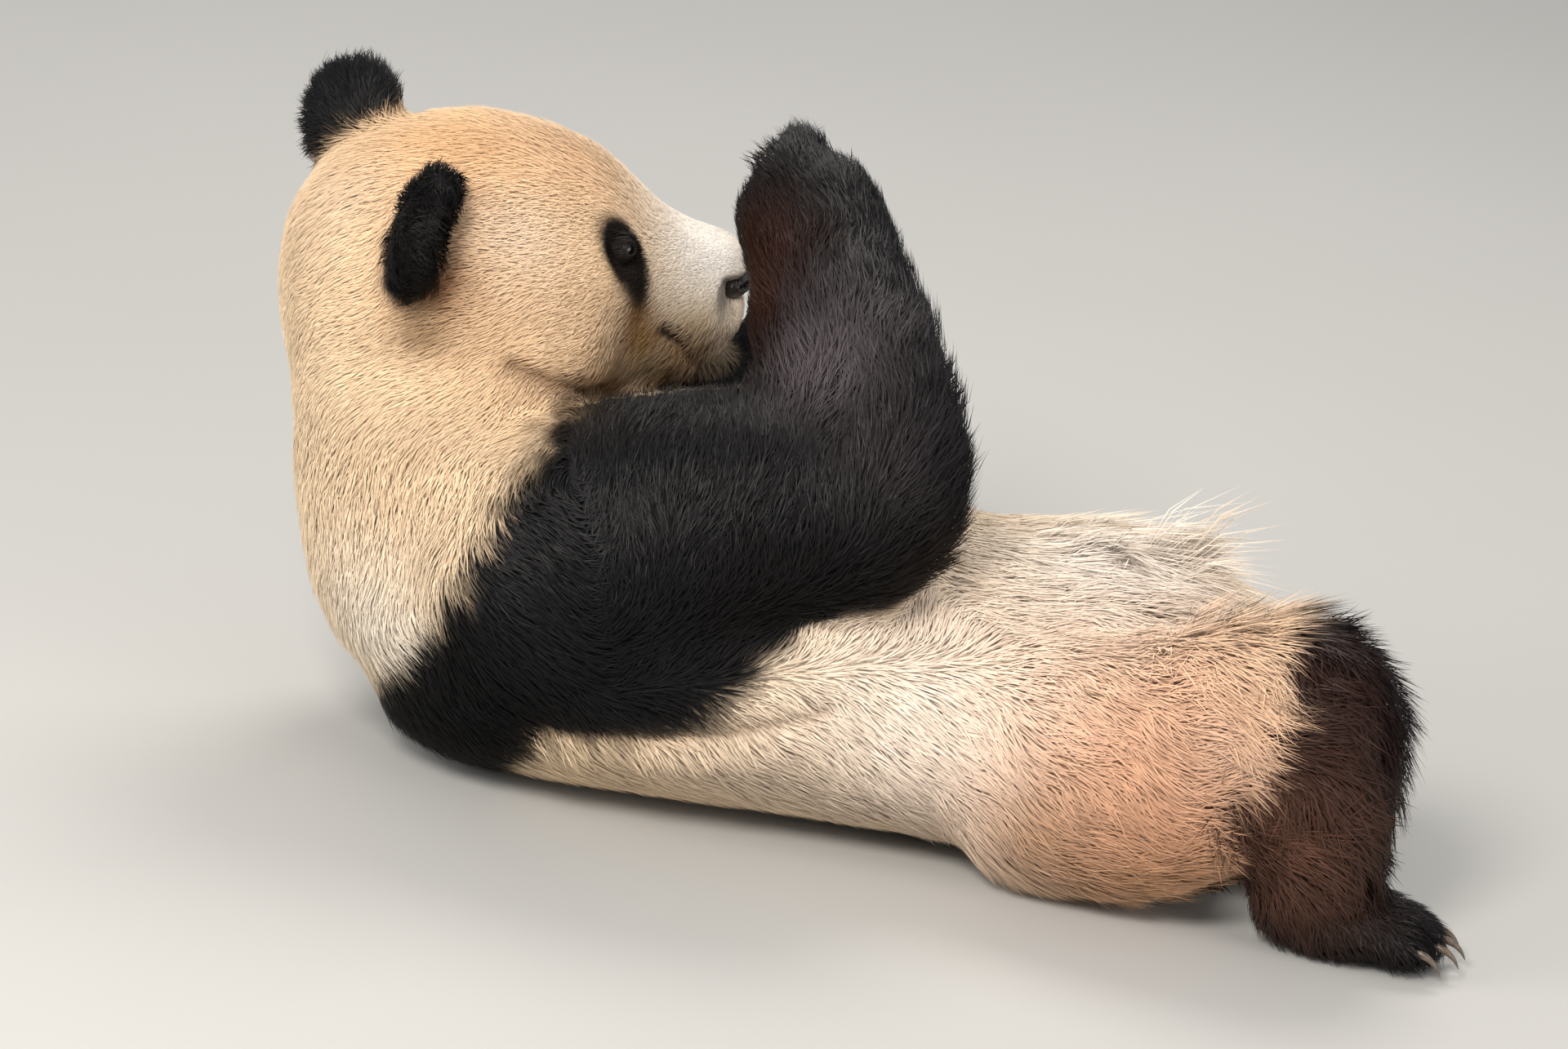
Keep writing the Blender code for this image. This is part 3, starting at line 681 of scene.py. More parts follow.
def distance_to_line(points, line):
    """Each point's distance to a chain of straight stretches."""
    best = np.full(len(points), 1e9)
    for start, end in zip(line[:-1], line[1:]):
        along = end - start
        t = np.clip((points - start) @ along / max(along @ along, 1e-12), 0, 1)
        best = np.minimum(best, np.linalg.norm(points - start - t[:, None] * along, axis=1))
    return best


def laid_on(line, surface):
    """A line of a few points, divided finely and laid onto the skin."""
    steps = np.linspace(0, len(line) - 1, LINE_STEPS)
    line = np.stack([np.interp(steps, range(len(line)), axis) for axis in line.T], axis=1)
    return np.array([surface.find_nearest(Vector(point))[0] for point in line])


def mouth_line(side, surface):
    """One side's half of the mouth. side is 1 for the left."""
    return laid_on(np.array([head_point(ahead, side * out, up) for ahead, out, up in MOUTH]), surface)


def pushed(points):
    """Points moved by all the pushes that they are near."""
    for _, centre, radius, push in PUSHES:
        points = points + bell(distance_to(points, centre), radius)[:, None] * push * MM
    return points


def surface_of(mesh):
    """A tree of the faces, which finds the nearest place on them quickly."""
    corners = [vertex.co.copy() for vertex in mesh.vertices]
    return BVHTree.FromPolygons(corners, [tuple(face.vertices) for face in mesh.polygons])


print("folds:", len(FOLDS), "pushes:", [name for name, *_ in PUSHES])

# %% [markdown]
# ## Giving the skin its shape
# The grooves come first, because their lines are laid onto the plain skin. Then come the pushes, the chin,
# the bed of the nose and last the lids, which are measured from the eyeballs and mustn't move any more.

# %% Shaping the face
surface = surface_of(skin.data)
MOUTH_LINES = [mouth_line(side, surface) for side in (1, -1)]
mouth_gap = np.min([distance_to_line(points, line) for line in MOUTH_LINES], axis=0)
groove = bell(mouth_gap, MOUTH_HALF_WIDTH)
points = points - normals * (groove * MOUTH_DEPTH * MM)[:, None]
# the lips' real stain, and then painted shade in the creases of the cheek and the flank
lip_dirt_and_crease_shade = LIP_DIRT[1] * bell(mouth_gap, LIP_DIRT[0])
for line, deep, half_width, dirt_and_shade in FOLDS:
    in_fold = bell(distance_to_line(points, laid_on(np.array(line), surface)), half_width * MM)
    points = points - normals * (in_fold * deep * MM)[:, None]
    lip_dirt_and_crease_shade = np.maximum(lip_dirt_and_crease_shade, in_fold * dirt_and_shade)
points = around_the_pad(trim_chin(pushed(points), owner))
points, eye_opening = lids(points)
write(skin.data, points)
points, normals, edges = read(skin.data)
flow = lie_at(points, normals, owner, edges)
print("points in the mouth:", int((groove > 0.5).sum()), "and in the eyes:", int((eye_opening > 0.5).sum()))

# %% [markdown]
# ## Markings
# Black and cream are one rule of place. The skin asks it at each of its points, and every tuft later takes
# the colour at its root. The band round the shoulders lies between two borders: a curve behind the cheeks,
# and one that climbs the flank. Arms, lower legs, ears and eye patches are black by where they are. Neither
# colour is even: the cream is yellowed by earth and food, and black hair bleaches to brown in the sun. Each
# stain is a soft ball of colour, laid over those before it. A few balls are painted light, not dirt: a grey
# painted sheen on the black of the back, forearm and elbow, painted shade under the nose, and a paler far
# belly that offsets the shade of its hollow. The creases of the cheek and the flank get painted shade.

# %% Black, cream, and the stains and painted light on them
NECK_BORDER = (  # x and height of the border behind the cheek
    (-0.72, -0.130), (-0.612, 0.105), (-0.544, 0.248), (-0.508, 0.319),
    (-0.480, 0.350), (-0.452, 0.394), (-0.432, 0.421), (-0.36, 0.53),
)  # fmt: skip
FLANK_BORDER = (  # x and height of the band's lower and rear edge
    (-0.60, -0.080), (-0.515, 0.000), (-0.480, 0.086), (-0.380, 0.104), (-0.315, 0.156), (-0.266, 0.204),
    (-0.241, 0.235), (-0.187, 0.280), (-0.140, 0.319), (-0.110, 0.380),
)  # fmt: skip
LEG_BORDER = ((-0.02, 0.082), (0.05, 0.100), (0.10, 0.111), (0.14, 0.112), (0.22, 0.122))  # height and x
ARMPIT = 0.232  # below this height the flank's pale coat runs on under the right elbow
BLACK_NODES = ("ear", "forearm", "forepaw", "shank", "hindpaw")

CREAM = linear("#e8cca8")[:3]
BLACK = linear("#0d0c0d")[:3]
# name, place, radius in metres, colour and how much of it
STAINS_AND_PAINTED_LIGHT = (
    ("crown", head_point(30, -40, 80), 0.18, "#da9c5c", 0.88),
    ("temple", np.array((-0.539, -0.086, 0.474)), 0.055, "#fae6d0", 0.85),
    ("cheek", head_point(60, -130, -70), 0.14, "#e5bd94", 0.75),
    ("forehead", head_point(170, -10, 10), 0.08, "#cba27c", 0.80),
    ("muzzle", head_point(275, -20, -105), 0.085, "#fdf8f2", 0.94),
    ("upper lip", head_point(247, -38, -145), 0.030, "#dcc9a0", 0.80),
    ("lips", head_point(250, -48, -168), 0.038, "#a88a5a", 0.80),
    ("under the patch", np.array((-0.437, -0.013, 0.410)), 0.024, "#6b3f12", 1.00),
    ("further under it", np.array((-0.434, -0.008, 0.390)), 0.026, "#80561f", 0.95),
    ("corner of the lips", np.array((-0.426, 0.006, 0.381)), 0.024, "#a47c42", 0.90),
    ("lower lip", np.array((-0.380, 0.048, 0.370)), 0.018, "#43301c", 0.85),
    # painted shade: the muzzle under the nose is darkened where it lies in shade
    ("under the nose", head_point(292, -8, -162), 0.020, "#b09876", 0.80),
    ("chin", head_point(235, -40, -184), 0.042, "#85602f", 0.88),
    ("throat", head_point(120, -90, -190), 0.10, "#dcb388", 0.60),
    ("nape", head_point(-70, -40, 40), 0.10, "#ecdcc6", 0.60),
    ("side of the neck", np.array((-0.61, -0.15, 0.27)), 0.09, "#ccac8a", 0.75),
    ("in front of the ear", np.array((-0.597, -0.115, 0.441)), 0.040, "#7c4820", 0.90),
    ("below the ear", np.array((-0.605, -0.117, 0.402)), 0.033, "#7f623f", 0.80),
    ("lower neck", np.array((-0.63, -0.16, 0.14)), 0.10, "#f3e8d8", 0.80),
    ("belly", np.array((-0.16, -0.24, 0.14)), 0.17, "#faeee0", 0.90),
    # partly painted light: the far belly is pale, and is made paler still to offset the shade of its hollow
    ("far belly", np.array((-0.03, -0.05, 0.28)), 0.16, "#fdf2e6", 0.92),
    ("flank", np.array((-0.30, -0.24, 0.05)), 0.13, "#dfc9b4", 0.75),
    ("thigh", np.array((0.03, -0.27, 0.15)), 0.21, "#d49c7c", 0.86),
    ("haunch", np.array((0.04, -0.25, 0.07)), 0.13, "#bd8765", 0.85),
    ("above the knee", np.array((0.085, -0.25, 0.17)), 0.05, "#bda08a", 0.65),
    ("lower thigh", np.array((-0.06, -0.24, 0.085)), 0.07, "#a07654", 0.65),
    ("rump", np.array((0.05, -0.23, 0.01)), 0.08, "#c89c74", 0.60),
)
BROWNS_AND_PAINTED_SHEEN = (  # sheen and sun-bleached places in the black
    ("near ear", np.array((-0.625, -0.156, 0.503)), 0.050, "#070403", 0.90),
    ("eye patch", np.array((-0.450, -0.025, 0.448)), 0.050, "#241d18", 0.90),
    # painted sheen: a grey lightening of the black across the back, where light would glint
    ("back of the band", np.array((-0.45, -0.233, 0.176)), 0.100, "#141416", 0.80),
    # painted sheen: these three grey balls lighten the black of the forearm and the elbow where light would
    # glint
    ("upper forearm", np.array((-0.25, -0.14, 0.44)), 0.085, "#353032", 0.85),
    ("middle of the forearm", np.array((-0.28, -0.169, 0.409)), 0.055, "#51494b", 0.85),
    ("elbow", np.array((-0.22, -0.21, 0.355)), 0.060, "#2b2628", 0.85),
    ("wrist", np.array((-0.337, -0.055, 0.494)), 0.055, "#24110a", 1.00),
    ("inside of the forearm", np.array((-0.333, -0.080, 0.445)), 0.055, "#2c160e", 0.95),
    ("shank", np.array((0.142, -0.25, 0.115)), 0.100, "#5c3f32", 0.90),
    ("knee", np.array((0.15, -0.22, 0.22)), 0.070, "#3a2018", 0.80),
)
# one brown for the lips' stain and for the painted shade in the creases
LIP_DIRT_AND_CREASE_SHADE = linear("#8c6a4e")[:3]
STAIN_FALL = 1.6  # how fast a stain fades: at its radius a fifth of it is left
print("stains:", len(STAINS_AND_PAINTED_LIGHT), "on the cream and", len(BROWNS_AND_PAINTED_SHEEN), "on the black")

# %% [markdown]
# ## Where the black begins
# Every border is a distance, below 0 on one side of it, and a smooth step turns that into a share of black,
# over about two centimetres on the body and less at the eye patch. A little noise in the distances frays the
# borders, as hairs of both colours mix there.

# %% Borders of the black
FRAY, FLANK_FRAY = 0.006, 0.008  # metres that noise moves the borders
FRAY_SIZE, WIDE_FRAY_SIZE = 0.012, 0.035  # metres: locks of hair, and wider waves of the border
WIDE_FRAY_SHARE = 0.6
BLOTCH_SIZE = 0.050  # metres
PALE_BLOTCHES, DARK_BLOTCHES = 0.05, 0.15  # how much the blotches change the colours
BLUR, FLANK_BLUR = 0.010, 0.012  # metres on each side over which the colours change
HEAD_LIMIT = (0.12, 0.16)  # metres ahead of the skull's middle, over which the band fades out
SLANT = 0.55  # the neck's border slants, so a height above it is this much of the distance from it
PATCH_HALF = 0.044  # half the eye patch's length in metres
PATCH_WIDTH, PATCH_TAPER = 0.0225, 0.0075  # half its width, and how much wider above and narrower below
PATCH_SHIFT = (AHEAD * 3 - UP * 13) * MM  # from the eye to the patch's middle
PATCH_WAY = AHEAD * 0.36 - UP * 0.93  # the patch slants forward as it goes down
PATCH_DEPTH = 0.055  # how far in and out of the head it reaches
PATCH_BLUR = 0.0035  # metres on each side, as with the other borders
PATCH_SCALE = 0.024  # turns the share of the patch's half width into metres
FAR_OFF = 4.5  # half widths of the patch, far enough away to be outside it


def noise_at(points, scale, seed):
    """Smooth noise of about -1 to 1 with features of the given size in metres."""
    shift = Vector((seed * 17.3, seed * 5.1, seed * 9.7))
    return np.array([noise.noise(Vector(p) / scale + shift) for p in points]) * 2.0


def interpolated(values, table):
    """Reads a table of pairs between its rows."""
    keys, results = np.array(table).T
    return np.interp(values, keys, results)


def patch_field(points):
    """Below 0 inside the black patch round either eye."""
    field = np.full(len(points), 2 * FAR_OFF)
    for centre, _, _, outward in EYE_FRAMES.values():
        local = points - centre - PATCH_SHIFT
        down = unit(PATCH_WAY - outward * (PATCH_WAY @ outward))
        sideways = np.cross(outward, down)
        a, b, c = local @ down, local @ sideways, local @ outward
        half = PATCH_WIDTH - PATCH_TAPER * np.clip(a / PATCH_HALF, -1, 1)  # a drop, broader above
        here = np.hypot(a / PATCH_HALF, b / half) - 1
        here[np.abs(c) > PATCH_DEPTH] += FAR_OFF  # the far side of the head isn't in the patch
        field = np.minimum(field, here)
    return field * PATCH_SCALE


def black_at(points, owner, noise_values):
    """How black the coat is, from 0 to 1, at points on the skin."""
    x, y, z = points.T
    neck = SLANT * (z - interpolated(x, NECK_BORDER)) + FRAY * noise_values
    neck = smooth_step(-neck, -BLUR, BLUR)
    flank = interpolated(x, FLANK_BORDER) - FLANK_FRAY * noise_values
    band = neck * smooth_step(z - flank, -FLANK_BLUR, FLANK_BLUR)
    armpit = np.where(y < 0, np.minimum(flank, ARMPIT), -1.0)
    arm = neck * smooth_step(z - armpit, -FLANK_BLUR, FLANK_BLUR)
    leg = smooth_step(x - interpolated(z, LEG_BORDER) + FRAY * noise_values, -BLUR, BLUR)
    ahead = (points - HEAD_ORIGIN) @ AHEAD
    patch = smooth_step(-patch_field(points), -PATCH_BLUR, PATCH_BLUR)
    on_the_head = np.maximum(patch, band * (1 - smooth_step(ahead, *HEAD_LIMIT)))
    regions = REGION_NAMES[owner]
    black = np.where(np.isin(regions, ("chest", "belly", "neck")), band, 0.0)
    black = np.where(regions == "head", on_the_head, black)
    black = np.where(np.isin(regions, BLACK_NODES), 1.0, black)
    black = np.where(regions == "upper_arm", arm, black)
    return np.where(regions == "thigh", leg, black)


def tinted(colours, points, stains_and_painted_light):
    """Colours with a table of soft balls of colour laid over them: dirt, bleaching, painted sheen and painted
    shade.
    """
    for _, place, radius, colour, amount in stains_and_painted_light:
        share = amount * np.exp(-STAIN_FALL * (distance_to(points, place) / radius) ** 2)[:, None]
        colours = colours * (1 - share) + np.array(linear(colour)[:3]) * share
    return colours


def markings(points, owner, edges):
    """The coat's colour at each vertex of the skin, in linear red, green and blue."""
    fray = noise_at(points, FRAY_SIZE, 1) + WIDE_FRAY_SHARE * noise_at(points, WIDE_FRAY_SIZE, 2)
    black = spread(black_at(points, owner, fray), edges, 2)
    blotch = noise_at(points, BLOTCH_SIZE, 3)[:, None]
    pale = tinted(np.tile(CREAM, (len(points), 1)), points, STAINS_AND_PAINTED_LIGHT) * (1 + PALE_BLOTCHES * blotch)
    # the lips' stain and the creases' painted shade darken the cream
    dirt_and_shade = lip_dirt_and_crease_shade[:, None]
    pale = pale * (1 - dirt_and_shade) + np.array(LIP_DIRT_AND_CREASE_SHADE) * dirt_and_shade
    dark = tinted(np.tile(BLACK, (len(points), 1)), points, BROWNS_AND_PAINTED_SHEEN) * (1 + DARK_BLOTCHES * blotch)
    mix = black[:, None]
    return pale * (1 - mix) + dark * mix, black


coat_colour, blackness = markings(points, owner, edges)
print("black share of the coat:", round(float(blackness.mean()), 2))

# %% [markdown]
# ## Unwrapping
# The colours are baked onto images when the model is exported, so the skin needs a flat map of itself.
# Blender's Smart UV Project cuts the body into islands along its own bends. Each tuft will later take the
# place of its root on this same map.

# %% The skin's map
def unwrap(obj):
    """Gives an object a UV map of its own, with no overlaps."""
    obj.data.uv_layers.new(name="OFBake")
    bpy.context.view_layer.objects.active = obj
    obj.select_set(True)
    bpy.ops.object.mode_set(mode="EDIT")
    bpy.ops.mesh.select_all(action="SELECT")
    bpy.ops.uv.smart_project(angle_limit=math.radians(66), island_margin=0.002)
    bpy.ops.object.mode_set(mode="OBJECT")
    obj.select_set(False)


def add_attribute(mesh, name, values):
    """Stores a number or a linear colour for each vertex."""
    kind, field = "FLOAT", "value"
    if values.ndim == 2:
        kind, field = "FLOAT_COLOR", "color"
        values = np.concatenate([values, np.ones((len(values), 1))], axis=1)
    mesh.attributes.new(name, kind, "POINT").data.foreach_set(field, values.astype(np.float32).ravel())


unwrap(skin)
print("unwrapped", len(skin.data.uv_layers["OFBake"].uv), "corners")

# %% [markdown]
# ## The skin's material
# Between the tufts one sees undercoat: short soft hair in the same colours. Roughness is high, and a fine
# noise as bump gives it the grain of hair. Round the eyes, lips and nose the skin is bare and dark, and a
# little moist, so there the roughness falls. The same flecks of lighter and darker hair go over the tufts.

# %% Skin
FLECKS = 420.0  # to a metre, so 2.4 mm each: a few hairs, drawn coarser than single ones so that they show
FLECK_RANGE = 0.22  # of the colour, up and down
LIP = np.array(linear("#1c1513")[:3])
BARE_LIP = (-4.5 * MM, -2.5 * MM)  # minus the distance to the mouth's line, where the skin begins to be bare
DARK_LIP = (-9.0 * MM, -5.5 * MM)  # and where it begins to be dark, which takes in some hair round it
BARE_NOSE = (-1.12, -0.98)  # minus the distance to the nose pad's middle, as a share of the pad's size


def add_coat_colour(tree, shader, gain):
    """Links the colours stored on a mesh to a shader, lit by gain and flecked. Returns the noise."""
    coat = add_node(tree, "ShaderNodeVertexColor", {"layer_name": "coat"})
    place = add_node(tree, "ShaderNodeTexCoord").outputs["Object"]
    fleck = add_node(tree, "ShaderNodeTexNoise", Scale=FLECKS, Detail=2.0, Vector=place)
    level = add_node(tree, "ShaderNodeMapRange", Value=fleck.outputs["Fac"],
                     To_Min=gain - FLECK_RANGE, To_Max=gain + FLECK_RANGE)
    scaled = add_node(tree, "ShaderNodeVectorMath", {"operation": "SCALE"}, _0=coat.outputs["Color"],
                      Scale=level.outputs["Result"])
    tree.links.new(scaled.outputs["Vector"], shader.inputs["Base Color"])
    return fleck


def skin_material():
    # undercoat: matt, with the fine broken grain of short hair
    made, tree, shader = new_material("undercoat", Roughness=0.85, Specular_IOR_Level=0.25)
    fleck = add_coat_colour(tree, shader, 0.94)
    bare = add_node(tree, "ShaderNodeAttribute", {"attribute_name": "bare"})
    rough = add_node(tree, "ShaderNodeMapRange", Value=bare.outputs["Fac"], To_Min=0.85, To_Max=0.42)
    tree.links.new(rough.outputs["Result"], shader.inputs["Roughness"])
    bump = add_node(tree, "ShaderNodeBump", Strength=0.5, Distance=0.0008, Height=fleck.outputs["Fac"])
    tree.links.new(bump.outputs["Normal"], shader.inputs["Normal"])
    return made


# bare skin lies along the mouth, inside the eyes' openings and round the nose pad
bare = np.maximum(smooth_step(-mouth_gap, *BARE_LIP), eye_opening)
pad_reach = np.linalg.norm((points - PAD) @ HEAD_AXES / PAD_SIZE, axis=1)
bare = np.maximum(bare, smooth_step(-pad_reach, *BARE_NOSE))
dark = np.maximum(bare, smooth_step(-mouth_gap, *DARK_LIP))[:, None]
skin_colour = coat_colour * (1 - dark) + LIP * dark
add_attribute(skin.data, "coat", skin_colour)
add_attribute(skin.data, "bare", bare)
skin.data.materials.clear()
skin.data.materials.append(skin_material())
skin.data.shade_smooth()
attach(skin, "root")
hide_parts(*FLESH)
print("bare:", int((bare > 0.5).sum()), "of the skin's", len(points), "points")

# %% [markdown]
# ## Eyes
# The eyes are small, round and very dark, with a brown iris that shows only at the edge of a wide pupil. A
# glassy coat over a dark ball gives the spark that makes an animal look alive. The rings of the iris are
# written on the ball itself, as a colour for each of its points.

# %% The two eyeballs
PUPIL = 4.0 * MM
IRIS = 6.6 * MM
CORNEA = 0.9 * MM  # how far it stands out of the ball
PUPIL_COLOUR = np.array(linear("#070505")[:3])
IRIS_COLOUR = np.array(linear("#160c07")[:3])  # added to the pupil's
RIM_COLOUR = np.array(linear("#120d0b")[:3])


def new_mesh_object(name, bm):
    """Turns a finished bmesh into a smooth object whose faces point outwards."""
    mesh = bpy.data.meshes.new(name)
    bmesh.ops.recalc_face_normals(bm, faces=bm.faces)
    bm.to_mesh(mesh)
    bm.free()
    mesh.shade_smooth()
    return mesh_object(name, mesh)


def eye_material():
    # wet eyeball: dark, with a clear hard gloss over it
    made, tree, shader = new_material(
        "wet eye", Roughness=0.25, Specular_IOR_Level=0.2, Coat_Weight=1.0, Coat_Roughness=0.02, Coat_IOR=1.38
    )
    tone = add_node(tree, "ShaderNodeVertexColor", {"layer_name": "coat"})
    tree.links.new(tone.outputs["Color"], shader.inputs["Base Color"])
    return made


def eyeball(side, material):
    """A ball with a cornea, and the rings of its iris as colours. side is 1 for the left."""
    centre, slit, across, outward = EYE_FRAMES[side]
    bm = bmesh.new()
    bmesh.ops.create_uvsphere(bm, u_segments=48, v_segments=64, radius=EYE_RADIUS)
    axes = Matrix((slit, across, outward)).transposed()
    for vertex in bm.verts:
        bulge = CORNEA * max(0.0, vertex.co.z / EYE_RADIUS) ** 8  # a high power keeps it to the very front
        vertex.co = Vector(centre) + axes @ (vertex.co * (1 + bulge / EYE_RADIUS))
    ball = new_mesh_object("left_eyeball" if side > 0 else "right_eyeball", bm)
    local, _, _ = read(ball.data)
    local = local - centre
    front = (local @ outward) > 0
    rho = np.where(front, np.hypot(local @ slit, local @ across), EYE_RADIUS)
    iris = smooth_step(rho, PUPIL - 0.4 * MM, PUPIL + 0.6 * MM)[:, None]
    iris = iris * (1 - smooth_step(rho, IRIS, IRIS + 0.8 * MM)[:, None])
    outside = smooth_step(rho, IRIS, IRIS + 1.0 * MM)[:, None]
    colour = PUPIL_COLOUR + iris * IRIS_COLOUR
    colour = colour * (1 - outside) + outside * RIM_COLOUR
    add_attribute(ball.data, "coat", colour)
    ball.data.materials.append(material)
    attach(ball, "root")
    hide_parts("left_eye" if side > 0 else "right_eye")


wet_eye = eye_material()
for side in EYE_FRAMES:
    eyeball(side, wet_eye)
print("eyeballs:", round(2 * EYE_RADIUS / MM), "mm across, pupils", round(2 * PUPIL / MM), "mm")

# %% [markdown]
# ## The nose
# The nose pad is a broad leathery cushion with two comma-shaped nostrils that open to the sides, and a groove
# down its middle. It starts as a ball that is made a little squarer, and pits are pressed into it. Its
# surface is cobbled and moist, which a small cell pattern as bump and a low roughness give.

# %% Nose pad
# on a ball of radius 1: a nostril's line, its depth and half width, and the rim that swells round it
NOSTRIL = ((0.60, 0.50, 0.02), (0.55, 0.66, 0.16), (0.42, 0.82, 0.14))
NOSTRIL_DEPTH, NOSTRIL_HALF_WIDTH = 0.34, 0.13
RIM_HEIGHT, RIM_PLACE, RIM_HALF_WIDTH = 0.06, 0.24, 0.10
GROOVE_DEPTH, GROOVE_HALF_WIDTH = 0.10, 0.05
SQUARENESS = 0.86  # a power below 1 makes the ball squarer
TAPER = 0.20  # how much broader the pad is above than below
COBBLES = 620.0  # to a metre, so 1.6 mm each, a little coarser than real ones so that they show


def leather_material():
    # moist nose leather: near black, cobbled, half glossy
    made, tree, shader = new_material("nose leather", Roughness=0.38, Coat_Weight=0.25, Coat_Roughness=0.2)
    place = add_node(tree, "ShaderNodeTexCoord").outputs["Object"]
    to_edge = {"feature": "DISTANCE_TO_EDGE"}
    cells = add_node(tree, "ShaderNodeTexVoronoi", to_edge, Vector=place, Scale=COBBLES)
    level = add_node(tree, "ShaderNodeMapRange", Value=cells.outputs["Distance"], From_Max=0.25)
    tone = add_node(tree, "ShaderNodeMix", {"data_type": "RGBA"}, Factor=level.outputs["Result"],
                    _6=linear("#0d0b0b"), _7=linear("#2a2423"))
    tree.links.new(tone.outputs[2], shader.inputs["Base Color"])
    bump = add_node(tree, "ShaderNodeBump", Strength=0.6, Distance=0.0005, Height=level.outputs["Result"])
    tree.links.new(bump.outputs["Normal"], shader.inputs["Normal"])
    return made


def nose_pad():
    """The pad, from a ball: each of its points is moved in or out, then stretched to the pad's size."""
    bm = bmesh.new()
    bmesh.ops.create_icosphere(bm, subdivisions=5, radius=1.0)
    ball = unit([v.co for v in bm.verts])
    reach = np.ones(len(ball))
    for side in (1, -1):
        line = unit([(ahead, side * left, up) for ahead, left, up in NOSTRIL])
        gap = distance_to_line(ball, line)
        reach -= NOSTRIL_DEPTH * bell(gap, NOSTRIL_HALF_WIDTH)
        reach += RIM_HEIGHT * bell(gap - RIM_PLACE, RIM_HALF_WIDTH)
    groove = bell(ball[:, 1], GROOVE_HALF_WIDTH) * smooth_step(-ball[:, 2], -0.1, 0.6) * (ball[:, 0] > 0)
    reach -= GROOVE_DEPTH * groove
    squarer = np.sign(ball) * np.abs(ball) ** SQUARENESS
    local = squarer * reach[:, None] * PAD_SIZE
    local[:, 1] *= 1 + TAPER * ball[:, 2]
    for vertex, (ahead, left, up) in zip(bm.verts, local):
        vertex.co = Vector(PAD + AHEAD * ahead + LEFT * left + UP * up)
    pad = new_mesh_object("nose_pad", bm)
    pad.data.materials.append(leather_material())
    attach(pad, "root")
    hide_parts("nose")
    print("nose pad:", len(pad.data.polygons), "faces")


nose_pad()

# %% [markdown]
# ## Claws
# A panda's claws are grey-brown horn, a few centimetres long and curved. The solids already have their shape,
# so each gets a smoother copy: the loose triangles are merged, joined to four-sided faces where they pair up,
# and divided twice. Horn grows in layers that show as darker and paler streaks, and a warped noise stands for
# them.

# %% Smoother claws
STREAKS = 260.0  # to a metre, so nearly 4 mm each: bundles of the finer streaks of real horn
DRAWN_IN = 17 * MM  # the claws of the raised paw sit deep in its fur


def horn_material():
    # claw horn: brown-grey, streaked, with a dull polish
    made, tree, shader = new_material("claw horn", Roughness=0.42)
    place = add_node(tree, "ShaderNodeTexCoord").outputs["Object"]
    streak = add_node(tree, "ShaderNodeTexNoise", Vector=place, Scale=STREAKS, Detail=4.0, Distortion=0.6)
    tone = add_node(tree, "ShaderNodeMix", {"data_type": "RGBA"}, Factor=streak.outputs["Fac"],
                    _6=linear("#2b2420"), _7=linear("#756656"))
    tree.links.new(tone.outputs[2], shader.inputs["Base Color"])
    bump = add_node(tree, "ShaderNodeBump", Strength=0.25, Distance=0.0004, Height=streak.outputs["Fac"])
    tree.links.new(bump.outputs["Normal"], shader.inputs["Normal"])
    return made


def smoother_claw(name, material):
    """A rounded copy of a claw, which on the raised paw follows the paw's push."""
    bm = bmesh.new()
    bm.from_mesh(NODES[name].data)
    if name.startswith("right_forepaw"):
        inward = unit(CENTRES["right_forepaw"] - CENTRES[name]) * DRAWN_IN
        with_paw = pushed(CENTRES[name][None])[0] - CENTRES[name]
        bmesh.ops.translate(bm, vec=Vector(inward + with_paw), verts=bm.verts)
    bmesh.ops.remove_doubles(bm, verts=bm.verts, dist=SAME_PLACE)
    bmesh.ops.join_triangles(
        bm, faces=bm.faces, cmp_seam=False, cmp_sharp=False, cmp_uvs=False, cmp_vcols=False,
        cmp_materials=False, angle_face_threshold=0.7, angle_shape_threshold=0.7,
    )  # fmt: skip
    claw = new_mesh_object(f"{name}_horn", bm)
    smooth = claw.modifiers.new("rounded", "SUBSURF")
    smooth.levels = smooth.render_levels = 2
    evaluated(claw)
    claw.data.materials.clear()
    claw.data.materials.append(material)
    claw.data.shade_smooth()
    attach(claw, "root")
    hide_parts(name)


horn = horn_material()
CLAWS = [name for name in NODES if "_claw_" in name]
for name in CLAWS:
    smoother_claw(name, horn)
print("claws:", len(CLAWS))

# %% [markdown]
# ## Where tufts grow
# Hair curves and particles don't survive an export, so the coat is real mesh: a few hundred thousand tufts.
# First come their roots. Points are scattered over the skin's triangles, more of them than needed, and a grid
# keeps one in each cell. Its cells are as wide as the spacing that the table asks for there, so the coat is
# even, and finest on the face.

# %% Roots of the tufts
OVERSOWN = 1.9  # points tried for each cell of the grid
CLASS = 0.25 * MM  # spacings are rounded to this, and each class has its own grid
BARE = 0.35  # skin barer than this grows nothing
BLEND_ROUNDS = 10  # of spreading, over which one region's coat turns into the next one's
FACE_SHARES = {DEPTH: 0.22, LENGTH: 0.30, WIDTH: 0.50, SPACING: 0.66, STAND: 0.0}  # what is left at the nose
FACE = (0.03, 0.17)  # metres from the nose, between which hair grows from that to its full measures
EYE_RING = (0.018, 0.06)  # and metres from an eye, where it begins at half of them


def corners_of(mesh):
    """The skin's triangles: their vertices and the corners that hold their UVs."""
    mesh.calc_loop_triangles()
    vertices = np.empty(len(mesh.loop_triangles) * 3, np.int32)
    mesh.loop_triangles.foreach_get("vertices", vertices)
    loops = np.empty(len(mesh.loop_triangles) * 3, np.int32)
    mesh.loop_triangles.foreach_get("loops", loops)
    return vertices.reshape(-1, 3), loops.reshape(-1, 3)


def mixed(values, corners, shares):
    """Values at points inside triangles, from those at their corners."""
    picked = values[corners]
    return np.einsum("nk,nk...->n...", shares, picked)


